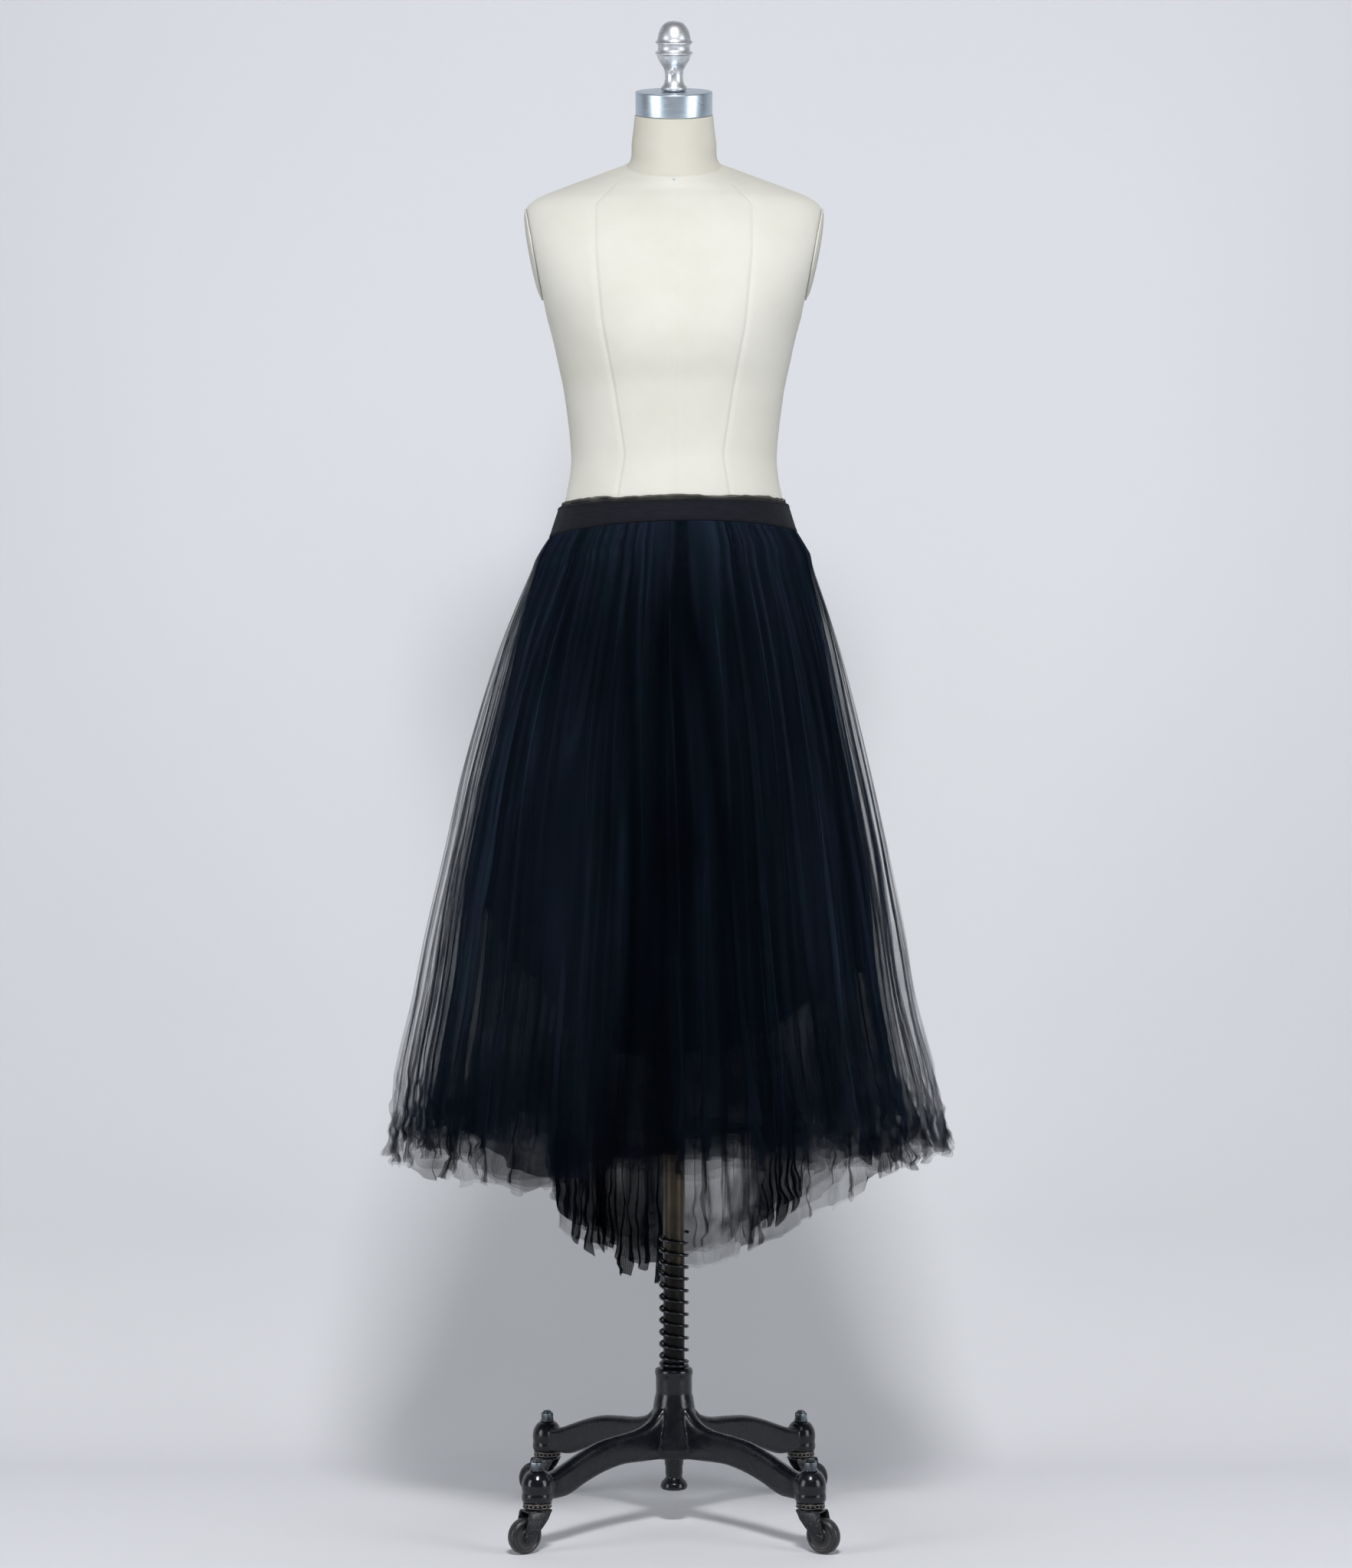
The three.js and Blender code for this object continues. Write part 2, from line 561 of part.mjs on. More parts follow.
function finial() {
  const foot = NECK_CAP.height + GAP;
  const { z, radius, socket, head, innerEnd, headFrom, headTo } = FINIAL_SCREW;
  const forward = (r, from, to, sides) => {
    return rod(r, from, to, sides).rotateX(Math.PI / 2).translate(0, 0, foot + z);
  };
  const body = turned(FINIAL_PROFILE.map(([r, height]) => [r, height + foot]), FINIAL_SIDES);
  add("finial", ontoNeck(cut(body, forward(socket, innerEnd - 0.4, 30, 8))), aluminium);
  const screw = join(forward(radius, innerEnd, headFrom + 1, 8), forward(head, headFrom, headTo, 10));
  add("finial_screw", ontoNeck(screw), aluminium);
}

function formBoard() {
  const { inset, thick, power, sides } = FORM_BOARD;
  const half = FORM_BOTTOM.half - inset;
  const front = FORM_BOTTOM.front - inset;
  const back = FORM_BOTTOM.back - inset;
  const ring = (z) => ({ z, half, front, back, power, slope: 0 });
  const top = FORM_BOTTOM.z - GAP;
  const bore = rod(POLE.radius + POLE_CLEARANCE, top - thick - 5, top + 5, POLE.sides);
  add("form_board", cut(loft([ring(top - thick), ring(top)], sides), bore), board);
}

// ---------------------------------------------------------------- stand
// Leg profile along its diagonal: distance from the pole axis, top and underside heights.
const LEG_STATIONS = [
  { r: 16, top: 150, under: 80 },
  { r: 26, top: 138, under: 80 },
  { r: 40, top: 125, under: 80.5 },
  { r: 62, top: 118, under: 81.5 },
  { r: 90, top: 115.5, under: 82 },
  { r: 122, top: 112, under: 77 },
  { r: 150, top: 104.5, under: 69 },
  { r: 176, top: 95, under: 59.5 },
  { r: 196, top: 88, under: 58 },
  { r: LEG_REACH, top: 84, under: 58 },
];

// Hub and boss profiles: radius and height
const HUB_PROFILE = [
  [0, HUB.bottomZ],
  [30, HUB.bottomZ],
  [33, 90],
  [31, 108],
  [26, 128],
  [23.2, 148],
  [21.8, 166],
  [21.6, HUB.topZ - 1.5],
  [20.6, HUB.topZ],
  [0, HUB.topZ],
];
const BOSS_PROFILE = [
  [0, BOSS.bottomZ],
  [BOSS.radius - 1, BOSS.bottomZ],
  [BOSS.radius, BOSS.bottomZ + 2],
  [BOSS.radius, BOSS.shoulderZ - 4],
  [BOSS.radius - 2.2, BOSS.shoulderZ + 3],
  [BOSS.radius - 7, BOSS.topZ - 2],
  [BOSS.radius - 9.5, BOSS.topZ],
  [0, BOSS.topZ],
];

function casting() {
  const under = LEG_STATIONS.map((station) => new THREE.Vector2(station.r, station.under));
  const top = LEG_STATIONS.toReversed().map((station) => new THREE.Vector2(station.r, station.top));
  const legShape = new THREE.Shape([...under, ...top]);
  const pieces = [turned(HUB_PROFILE, HUB.sides)];
  const bores = [rod(HUB.bore, HUB.bottomZ + HUB.floor, HUB.topZ + 10, HUB.sides)];
  for (const caster of CASTERS) {
    const leg = new THREE.ExtrudeGeometry(legShape, { depth: LEG_WIDTH, bevelEnabled: false });
    leg.translate(0, 0, -LEG_WIDTH / 2).rotateX(Math.PI / 2).rotateZ(caster.diagonal * DEG);
    const [x, y] = casterAxis(caster);
    pieces.push(leg, turned(BOSS_PROFILE, BOSS.sides).translate(x, y, 0));
    bores.push(rod(BOSS.bore, BOSS.bottomZ - 5, BOSS.topZ + 5, 12).translate(x, y, 0));
  }
  add("base_casting", cut(join(...pieces), ...bores), castIron);
}

function casterAxis(caster) {
  return [LEG_REACH * Math.cos(caster.diagonal * DEG), LEG_REACH * Math.sin(caster.diagonal * DEG)];
}

// The spring is wound left-handed and stands on the hub. Its first turn is closed, and the others
// have an even pitch.
class Coil extends THREE.Curve {
  getPoint(u, target = new THREE.Vector3()) {
    const turn = u * SPRING.turns;
    const angle = -turn * 2 * Math.PI;
    const start = HUB.topZ + GAP + SPRING.wire + SPRING.lift;
    const closed = (SPRING.wire * 2 + GAP) * Math.min(turn, 1);
    const z = start + closed + SPRING.pitch * Math.max(turn - 1, 0);
    return target.set(SPRING.coil * Math.cos(angle), SPRING.coil * Math.sin(angle), z);
  }
}

function poleAndSpring() {
  add("pole", rod(POLE.radius, POLE.bottomZ, POLE.topZ, POLE.sides), steelTube);
  const corner = (_, k) => {
    const angle = (2 * Math.PI * k) / SPRING.sides;
    return new THREE.Vector2(SPRING.wire * Math.cos(angle), SPRING.wire * Math.sin(angle));
  };
  const section = new THREE.Shape(Array.from({ length: SPRING.sides }, corner));
  const steps = SPRING.turns * SPRING.stepsPerTurn;
  const sweep = { steps, bevelEnabled: false, extrudePath: new Coil() };
  add("pole_spring", new THREE.ExtrudeGeometry(section, sweep), springSteel);
}

function hubFoot() {
  const top = HUB.bottomZ - GAP;
  const profile = [
    [0, FOOT.bottomZ],
    [FOOT.rimRadius - 2, FOOT.bottomZ],
    [FOOT.rimRadius, FOOT.bottomZ + 3],
    [FOOT.rimRadius - 1.5, FOOT.bottomZ + 8],
    [FOOT.neckRadius, FOOT.bottomZ + 13],
    [FOOT.topRadius, top],
    [0, top],
  ];
  add("hub_foot", turned(profile, FOOT.sides), castIron);
}

// A caster is made with its swivel axis on Z and its wheel trailing towards +X, then set in place.
const CROWN_TOP = BOSS.bottomZ - GAP - RACE.tall - GAP;
const CROWN_BOTTOM = CROWN_TOP - FORK.plate;

function casterFork() {
  const width = FORK.gap + 2 * FORK.cheek;
  const crown = new THREE.BoxGeometry(FORK.plateLong, width, FORK.plate);
  crown.translate(FORK.plateX, 0, CROWN_TOP - FORK.plate / 2);
  const outline = [
    [FORK.cheekBackX, CROWN_BOTTOM + 1],
    [FORK.trail - 6, WHEEL.radius - 2],
    [FORK.trail - 4, WHEEL.radius - 5],
    [FORK.trail, WHEEL.radius - FORK.eye],
    [FORK.trail + FORK.eye * Math.SQRT1_2, WHEEL.radius - FORK.eye * Math.SQRT1_2],
    [FORK.trail + FORK.eye, WHEEL.radius],
    [FORK.trail, CROWN_BOTTOM + 1],
  ];
  const cheekShape = new THREE.Shape(outline.map(([x, z]) => new THREE.Vector2(x, z)));
  const cheek = new THREE.ExtrudeGeometry(cheekShape, { depth: FORK.cheek, bevelEnabled: false });
  cheek.rotateX(Math.PI / 2);
  const near = cheek.clone().translate(0, -FORK.gap / 2, 0);
  const far = cheek.clone().translate(0, width / 2, 0);
  const axleReach = width / 2 + FORK.axleEnd;
  const axle = rod(FORK.axle, -axleReach, axleReach, 8).rotateX(Math.PI / 2);
  axle.translate(FORK.trail, 0, WHEEL.radius);
  return cut(join(crown, near, far, axle), rod(RACE.bore, CROWN_BOTTOM - 1, CROWN_TOP + 1, 12));
}

// The stem hangs from its nut on the boss, and a rivet head holds the fork's crown on it.
function casterStem() {
  const nutBase = BOSS.topZ + GAP;
  const nutTop = nutBase + NUT.tall;
  const nut = [
    [0, nutBase],
    [NUT.radius, nutBase],
    [NUT.radius, nutTop - NUT.crown],
    [NUT.radius - NUT.crownInset, nutTop],
    [0, nutTop],
  ];
  const rivetTop = CROWN_BOTTOM - GAP;
  const rivet = rod(STEM.rivet, rivetTop - STEM.rivetTall, rivetTop, 12);
  return join(turned(nut, 6), rod(STEM.radius, rivetTop - STEM.rivetTall, nutBase + 1, 12), rivet);
}

function casterRace() {
  const top = BOSS.bottomZ - GAP;
  const bottom = top - RACE.tall;
  const profile = [
    [RACE.bore, bottom],
    [RACE.radius, bottom],
    [RACE.radius, top],
    [RACE.bore, top],
  ];
  return turned(profile, RACE.sides);
}

function casterWheel() {
  const side = WHEEL.width / 2;
  const tread = WHEEL.tread / 2;
  const radius = WHEEL.radius / Math.cos(Math.PI / WHEEL.sides); // its flats then touch the floor
  const profile = [
    [WHEEL.bore, -side],
    [WHEEL.shoulder, -side],
    [radius, -tread],
    [radius, tread],
    [WHEEL.shoulder, side],
    [WHEEL.bore, side],
  ];
  const wheel = turned(profile, WHEEL.sides, Math.PI / WHEEL.sides).rotateX(Math.PI / 2);
  return wheel.translate(FORK.trail, 0, WHEEL.radius);
}

function casters() {
  for (const caster of CASTERS) {
    const [x, y] = casterAxis(caster);
    const place = (name, geometry, surface) => {
      add(`${name}_${caster.name}`, geometry.rotateZ(caster.heading * DEG).translate(x, y, 0), surface);
    };
    place("caster_stem", casterStem(), castIron);
    place("caster_race", casterRace(), steelTube);
    place("caster_fork", casterFork(), castIron);
    place("caster_wheel", casterWheel(), rubber);
  }
}

torso();
armPlates();
neckCap();
finial();
formBoard();
poleAndSpring();
hubFoot();
casting();
casters();
waistband();
tubePanels("outer_tulle", OUTER_TULLE, tulle);
tubePanels("middle_tulle", MIDDLE_TULLE, tulle);
tubePanels("lining", LINING, liningCloth);
tubePanels("inner_tulle", INNER_TULLE, tulle);
rufflePanels("outer_ruffle", OUTER_RUFFLE, tulle);
rufflePanels("inner_ruffle", INNER_RUFFLE, tulle);

export default part;
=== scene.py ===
"""A black tulle skirt with a longer back, on a canvas dress form with a cast rolling stand."""

import math
import random

import bmesh
import bpy
import numpy as np
from mathutils import Matrix, Vector


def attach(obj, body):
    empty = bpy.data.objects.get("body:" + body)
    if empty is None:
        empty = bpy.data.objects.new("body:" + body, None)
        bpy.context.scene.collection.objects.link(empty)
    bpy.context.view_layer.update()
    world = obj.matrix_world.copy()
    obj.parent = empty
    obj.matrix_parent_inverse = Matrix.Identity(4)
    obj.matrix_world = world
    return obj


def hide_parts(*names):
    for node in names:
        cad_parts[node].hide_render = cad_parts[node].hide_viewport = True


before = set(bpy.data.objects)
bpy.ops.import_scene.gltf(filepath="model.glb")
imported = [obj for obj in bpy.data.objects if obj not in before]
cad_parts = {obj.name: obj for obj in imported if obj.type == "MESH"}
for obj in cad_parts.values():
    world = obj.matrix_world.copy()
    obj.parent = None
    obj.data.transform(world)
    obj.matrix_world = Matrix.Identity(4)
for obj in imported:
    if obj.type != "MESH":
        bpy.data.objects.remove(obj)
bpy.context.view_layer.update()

MM = 0.001
TURN = 2 * math.pi
BASE, MAST = "base", "mast"
CORNERS = ("front_left", "front_right", "rear_left", "rear_right")

# ---------------------------------------------------------------- sizes, in millimetres
# Dress form: height, half width, depth to the front and back, squareness, slope of the ring.
FORM_COLUMNS = ("z", "half", "front", "back", "power", "slope")
FORM_ROWS = (
    (1000, 152, 108, 112, 2.2, 0),
    (1030, 157, 111, 115, 2.2, 0),
    (1060, 160, 112.5, 115, 2.2, 0),
    (1100, 158, 110, 110, 2.2, 0),
    (1137, 151.5, 104.5, 103, 2.2, 0),
    (1170, 143, 102, 98, 2.2, 0),
    (1203, 132.5, 99, 92, 2.2, 0),
    (1235, 125, 95, 86.5, 2.2, 0),
    (1268, 122, 92, 85, 2.2, 0),
    (1340, 130, 104, 90, 2.2, 0),
    (1374, 137, 116, 95, 2.2, 0),
    (1410, 145, 122, 99, 2.3, 0),
    (1451, 157, 119, 103, 2.4, 0),
    (1503, 174, 99, 104, 2.5, 0),
    (1535, 178.5, 84, 98, 2.5, 0),
    (1558, 177, 72, 88, 2.4, 0.05),
    (1574, 161, 63, 78, 2.3, 0.12),
    (1590, 121, 54, 68, 2.2, 0.25),
    (1602, 84, 50, 60, 2.1, 0.36),
    (1612, 56, 47.5, 52, 2, 0.44),
    (1642, 50, 46.5, 49, 2, 0.36),
    (1672.5, 46.5, 45, 45, 2, 0.3),
)
NECK_SEAM_Z = 1612
NECK_TOP_Z = 1672.5
NECK_LEAN = math.atan(0.3)
GAP = 0.3

# Waistband
BAND = dict(ease=0.8, thick=5.6, top=1208, bottom=1173, front_rise=10, top_tilt=0.015, bottom_tilt=0.025)

# Skirt layers: height, reach to the left, right, front and back, half depth of the main folds
LAYER_COLUMNS = ("z", "left", "right", "front", "back", "fold")
OUTER_ROWS = (
    (1137, 165, 164, 117, 116, 0.8),
    (1083, 188, 182, 136, 139, 2.4),
    (1028, 209, 198, 155, 163, 3.2),
    (901, 245, 227, 191, 202, 4.6),
    (810, 264, 246, 213, 225, 6),
    (719, 283, 262, 232, 244, 7.5),
    (628, 300, 278, 250, 259, 8.8),
    (537, 320, 300, 266, 272, 10),
    (446, 328, 315, 280, 281, 10.5),
    (250, 332, 322, 285, 284, 10.5),
)
MIDDLE_ROWS = (
    (1137, 161.5, 160.5, 113.5, 112.5, 0.5),
    (1083, 179, 175, 129, 131, 1.6),
    (1028, 195, 187, 143, 150, 2.2),
    (901, 228, 213, 175, 186, 3.4),
    (810, 247, 230, 196, 208, 4.6),
    (719, 264, 246, 214, 226, 5.6),
    (628, 279, 259, 231, 240, 5.2),
    (537, 295, 275, 246, 252, 5.8),
    (446, 303, 289, 258, 260, 6.2),
    (250, 307, 297, 262, 262, 6.2),
)
LINING_ROWS = (
    (1137, 158.3, 157.6, 110.4, 109.4, 0.4),
    (1083, 170.5, 168.5, 122.5, 123.5, 1),
    (1028, 182, 178, 133, 139, 1.8),
    (901, 211, 200, 161, 170, 3),
    (810, 229, 215, 180, 190, 4),
    (719, 244, 229, 195, 206, 4.5),
    (500, 262, 246, 214, 225, 5),
)
INNER_ROWS = (
    (1137, 155.4, 155.3, 107.6, 106.6, 0.4),
    (1083, 163.8, 163.4, 116.3, 116.8, 0.8),
    (1028, 171, 170, 124, 127.5, 1.3),
    (901, 190, 184, 144, 151, 2.5),
    (810, 203, 195, 158, 166, 3.6),
    (719, 214, 205, 171, 179, 4.4),
    (628, 223, 215, 183, 190, 5.2),
    (537, 232, 224, 195, 200, 5.8),
    (446, 240, 232, 205, 208, 6),
    (250, 248, 242, 214, 214, 6),
)
SEAM_BLEND = 36

# Stand
POLE = dict(radius=12.7, bottom=128, top=1200)
HUB = dict(top=185, bore=14.3, bore_depth=99)
SPRING = dict(wire=2.1, coil=15.9, pitch=14, turns=12)
LEG_REACH = 221
BOSS = dict(bottom=57.5, top=93)
RACE = dict(radius=16.8, tall=7)
FORK = dict(trail=17, plate=3, cheek=2.3, gap=18.4)
WHEEL = dict(radius=20.65, width=16)
DIAGONAL = dict(front_left=225, front_right=315, rear_left=135, rear_right=45)
HEADING = dict(front_left=215, front_right=-33, rear_left=155, rear_right=32)


# ---------------------------------------------------------------- number helpers
def table(columns, rows):
    """Rows of numbers as one array for each named column, lowest height first."""
    ordered = sorted(rows)
    return {name: np.array([row[k] for row in ordered], float) for k, name in enumerate(columns)}


def along(rows, column, z):
    """The smooth value of a column at height z."""
    zs, values = rows["z"], rows[column]
    low = np.maximum(np.arange(len(zs)) - 1, 0)
    high = np.minimum(np.arange(len(zs)) + 1, len(zs) - 1)
    slope = (values[high] - values[low]) / (zs[high] - zs[low])
    z = np.clip(z, zs[0], zs[-1])
    i = np.clip(np.searchsorted(zs, z, side="right") - 1, 0, len(zs) - 2)
    span = zs[i + 1] - zs[i]
    s = (z - zs[i]) / span
    start = (1 + 2 * s) * (1 - s) ** 2 * values[i] + s * (1 - s) ** 2 * span * slope[i]
    return start + s * s * (3 - 2 * s) * values[i + 1] + s * s * (s - 1) * span * slope[i + 1]


def smooth(x):
    x = np.clip(x, 0, 1)
    return x * x * (3 - 2 * x)


def ring_point(left, right, front, back, power, angle):
    """A point of a ring whose quarters have their own reach."""
    c, s = np.cos(angle), np.sin(angle)
    x = np.where(c > 0, right, left) * np.sign(c) * np.abs(c) ** (2 / power)
    y = np.where(s > 0, back, front) * np.sign(s) * np.abs(s) ** (2 / power)
    return x, y


# How many random levels a noise has, along and across, before it repeats
LATTICE = (512, 128)


def value_noise(u, w, seed, period=LATTICE[0]):
    """Smooth noise from -1 to 1. It repeats along u after period cells."""
    lattice = np.random.default_rng(seed).uniform(-1, 1, (period, LATTICE[1]))
    iu, iw = np.floor(u).astype(int), np.floor(w).astype(int)
    fu, fw = smooth(u - iu), smooth(w - iw)

    def across(row):
        here, after = lattice[iu % period, row % LATTICE[1]], lattice[(iu + 1) % period, row % LATTICE[1]]
        return here * (1 - fu) + after * fu

    return across(iw) * (1 - fw) + across(iw + 1) * fw


def ring_noise(ring, down, cells, seed, shift_along=0.0):
    """Smooth noise from -1 to 1, with a number of cells round a ring, for shares of the ring."""
    return value_noise(ring * cells + shift_along, down, seed, cells)


def around_noise(t, cells, seed):
    """Smooth noise round a ring at one height, from -1 to 1."""
    return ring_noise(t / TURN, np.zeros_like(t), cells, seed)


# ---------------------------------------------------------------- mesh helpers
def new_object(name, data):
    piece = bpy.data.objects.new(name, data)
    bpy.context.scene.collection.objects.link(piece)
    return piece


def mesh_piece(name, points, faces, uvs=None, smooth_shade=True):
    """A piece from points in millimetres."""
    mesh = bpy.data.meshes.new(name)
    mesh.from_pydata((np.asarray(points, float) * MM).tolist(), [], faces)
    if uvs is not None:
        layer = mesh.uv_layers.new(name="UVMap")
        order = np.zeros(len(mesh.loops), int)
        mesh.loops.foreach_get("vertex_index", order)
        layer.data.foreach_set("uv", (np.asarray(uvs, float)[order] * MM).ravel())
    mesh.polygons.foreach_set("use_smooth", np.full(len(mesh.polygons), smooth_shade))
    mesh.update()
    return new_object(name, mesh)


def grid_faces(rows, columns, wrap=False, flip=False):
    """Quads of a grid of points, rows by columns."""
    faces = []
    for i in range(rows - 1):
        for j in range(columns if wrap else columns - 1):
            a, b = i * columns + j, i * columns + (j + 1) % columns
            quad = (a, b, b + columns, a + columns)
            faces.append(quad[::-1] if flip else quad)
    return faces


def sheet_piece(name, x, y, z, flip=False):
    """A sheet from grids of coordinates. Its UV map is in cloth lengths."""
    rows, columns = x.shape
    points = np.stack([x, y, z], -1)
    across = np.linalg.norm(np.diff(points, axis=1), axis=2).mean(0)
    u = np.concatenate([[0], np.cumsum(across)])
    down = np.linalg.norm(np.diff(points, axis=0), axis=2).mean(1)
    v = np.concatenate([[0], np.cumsum(down)])
    uv = np.stack(np.broadcast_arrays(u[None, :], -v[:, None]), -1).reshape(-1, 2)
    return mesh_piece(name, points.reshape(-1, 3), grid_faces(rows, columns, flip=flip), uv)


def turned(name, profile, sides, closed=False):
    """A solid of revolution about Z from radius and height points."""
    angles = np.arange(sides) / sides * TURN
    points, uvs = [], []
    run = np.concatenate([[0], np.cumsum([math.dist(a, b) for a, b in zip(profile, profile[1:])])])
    for (radius, z), along_profile in zip(profile, run):
        points += [(radius * math.cos(a), radius * math.sin(a), z) for a in angles]
        uvs += [(a * max(radius, 1), along_profile) for a in angles]
    faces = grid_faces(len(profile), sides, wrap=True)
    if closed:
        last = (len(profile) - 1) * sides
        faces += [(last + j, last + (j + 1) % sides, (j + 1) % sides, j) for j in range(sides)]
    return tidy_mesh(mesh_piece(name, points, faces, uvs))


def tidy_mesh(piece, weld=1e-5):
    """Merges doubles, drops flat faces and points the faces outwards."""
    work = bmesh.new()
    work.from_mesh(piece.data)
    bmesh.ops.remove_doubles(work, verts=work.verts, dist=weld)
    bmesh.ops.dissolve_degenerate(work, edges=work.edges, dist=1e-6)
    bmesh.ops.recalc_face_normals(work, faces=work.faces)
    work.to_mesh(piece.data)
    work.free()
    return piece


def rounded_profile(corners, radius, steps=3):
    """A lathe profile with its corners rounded off."""
    points = [corners[0]]
    for before, corner, after in zip(corners, corners[1:], corners[2:]):
        b, c, a = Vector(before), Vector(corner), Vector(after)
        cut = min(radius, (b - c).length * 0.45, (a - c).length * 0.45)
        start = c + (b - c).normalized() * cut
        end = c + (a - c).normalized() * cut
        for k in range(steps + 1):
            s = k / steps
            points.append(tuple(start * (1 - s) ** 2 + c * 2 * s * (1 - s) + end * s * s))
    return points + [corners[-1]]


def lathed(name, corners, radius, sides, steps=3, closed=False):
    """A turned solid with the corners of its profile rounded off."""
    return turned(name, rounded_profile(corners, radius, steps), sides, closed)


def transform(piece, *matrices):
    for matrix in matrices:
        piece.data.transform(matrix)
    return piece


def turn(degrees, axis):
    return Matrix.Rotation(math.radians(degrees), 4, axis)


def shift(x, y, z):
    return Matrix.Translation(Vector((x, y, z)) * MM)


def joined(name, pieces):
    """Several pieces' meshes as one piece."""
    work = bmesh.new()
    for piece in pieces:
        work.from_mesh(piece.data)
        bpy.data.objects.remove(piece)
    mesh = bpy.data.meshes.new(name)
    work.to_mesh(mesh)
    work.free()
    return new_object(name, mesh)


def plain_mesh(piece):
    """A piece with its modifiers turned into its mesh."""
    made = bpy.data.meshes.new_from_object(piece.evaluated_get(bpy.context.evaluated_depsgraph_get()))
    piece.modifiers.clear()
    if piece.type == "MESH":
        piece.data = made
        return piece
    name = piece.name
    bpy.data.objects.remove(piece)
    return new_object(name, made)


def crisp(piece, degrees):
    """Keeps the shading's edges where faces meet at more than an angle."""
    piece.data.set_sharp_from_angle(angle=math.radians(degrees))
    return piece


def bevelled(piece, width):
    modifier = piece.modifiers.new("edges", "BEVEL")
    modifier.width = width * MM
    modifier.segments = 2
    modifier.limit_method = "ANGLE"
    modifier.angle_limit = math.radians(35)
    made = plain_mesh(piece)
    made.data.shade_smooth()
    return crisp(made, 40)


def extruded(name, outline, thick):
    """A plate in the XZ plane from an outline, with its thickness along Y."""
    count = len(outline)
    points = [(x, y, z) for y in (-thick / 2, thick / 2) for x, z in outline]
    faces = [tuple(range(count)), tuple(range(2 * count - 1, count - 1, -1))]
    for k in range(count):
        after = (k + 1) % count
        faces.append((k, k + count, after + count, after))
    return tidy_mesh(mesh_piece(name, points, faces, smooth_shade=False))


def settle(piece, body, finish, slot, *nodes):
    """Gives a piece its finish and body, and hides the nodes that it stands for; its slot is not used."""
    piece.data.materials.clear()
    piece.data.materials.append(finish)
    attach(piece, body)
    if nodes:
        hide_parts(*nodes)


# ---------------------------------------------------------------- material helpers
class Finish:
    """A material under construction, with short names for making and linking nodes."""

    def __init__(self, name, color, roughness, metallic=0.0, **sockets):
        self.material = bpy.data.materials.new(name)
        self.material.use_nodes = True
        self.tree = self.material.node_tree
        self.tree.nodes.clear()
        self.surface = self.add("ShaderNodeBsdfPrincipled")
        self.add("ShaderNodeOutputMaterial", {"Surface": self.surface.outputs["BSDF"]})
        values = {"Base Color": (*color, 1), "Roughness": roughness, "Metallic": metallic}
        values.update((socket.replace("_", " "), value) for socket, value in sockets.items())
        for socket, value in values.items():
            self.surface.inputs[socket].default_value = value

    def give(self, socket, value):
        """Links a socket to another one, or sets it to a number or a colour."""
        if isinstance(value, bpy.types.NodeSocket):
            self.tree.links.new(value, socket)
        else:
            socket.default_value = value

    def add(self, kind, inputs=None, **properties):
        node = self.tree.nodes.new(kind)
        for key, value in properties.items():
            setattr(node, key, value)
        for key, value in (inputs or {}).items():
            self.give(node.inputs[key], value)
        return node

    def math(self, operation, *values):
        node = self.add("ShaderNodeMath", operation=operation)
        for socket, value in zip(node.inputs, values):
            self.give(socket, value)
        return node.outputs[0]

    def attribute(self, name):
        return self.add("ShaderNodeAttribute", attribute_name=name).outputs["Fac"]

    def coordinate(self, kind, scale=(1, 1, 1)):
        source = self.add("ShaderNodeTexCoord").outputs[kind]
        return self.add("ShaderNodeMapping", {"Vector": source, "Scale": scale}).outputs[0]

    def parts(self, kind="Object"):
        """A coordinate's X, Y and Z."""
        return self.add("ShaderNodeSeparateXYZ", {"Vector": self.coordinate(kind)}).outputs

    def noise(self, scale, detail, roughness=0.5, stretch=(1, 1, 1), kind="Object"):
        inputs = {"Scale": scale, "Detail": detail, "Roughness": roughness}
        inputs["Vector"] = self.coordinate(kind, stretch)
        return self.add("ShaderNodeTexNoise", inputs).outputs["Fac"]

    def ramp(self, value, low, high, start=0.0, end=1.0):
        inputs = {"Value": value, "From Min": low, "From Max": high, "To Min": start, "To Max": end}
        return self.add("ShaderNodeMapRange", inputs, clamp=True).outputs[0]

    def blend(self, value, first, second):
        node = self.add("ShaderNodeMix", {"Factor": value}, data_type="RGBA")
        for socket, color in ((6, first), (7, second)):
            self.give(node.inputs[socket], color if isinstance(color, bpy.types.NodeSocket) else (*color, 1))
        return node.outputs[2]

    def bump(self, height, distance, strength):
        inputs = {"Height": height, "Distance": distance * MM, "Strength": strength}
        before = self.surface.inputs["Normal"]
        if before.links:
            inputs["Normal"] = before.links[0].from_socket
        self.give(before, self.add("ShaderNodeBump", inputs).outputs[0])

    def paint(self, value, low, high, first, second):
        """The surface's colour: the first up to the low value, and the second from the high one."""
        self.give(self.surface.inputs["Base Color"], self.blend(self.ramp(value, low, high), first, second))

    def gloss(self, value, low, high, least, most):
        """The surface's roughness: the least up to the low value, and the most from the high one."""
        self.give(self.surface.inputs["Roughness"], self.ramp(value, low, high, least, most))

    def crossing(self, first, second, pitch):
        """Two crossing sets of threads, as one wave from -1 to 1."""
        wave = TURN / (pitch * MM)
        sets = [self.math("SINE", self.math("MULTIPLY", way, wave)) for way in (first, second)]
        return self.math("MULTIPLY", *sets)

    def weave(self, pitch, depth, strength):
        """A plain weave in relief."""
        u, v, _ = self.parts("UV")
        self.bump(self.crossing(u, v, pitch), depth, strength)


# ---------------------------------------------------------------- finishes
# Black dye has faded unevenly, towards violet and towards green
FADED = ((1.3, 1.02, 1.1), (0.98, 1.13, 1.0))
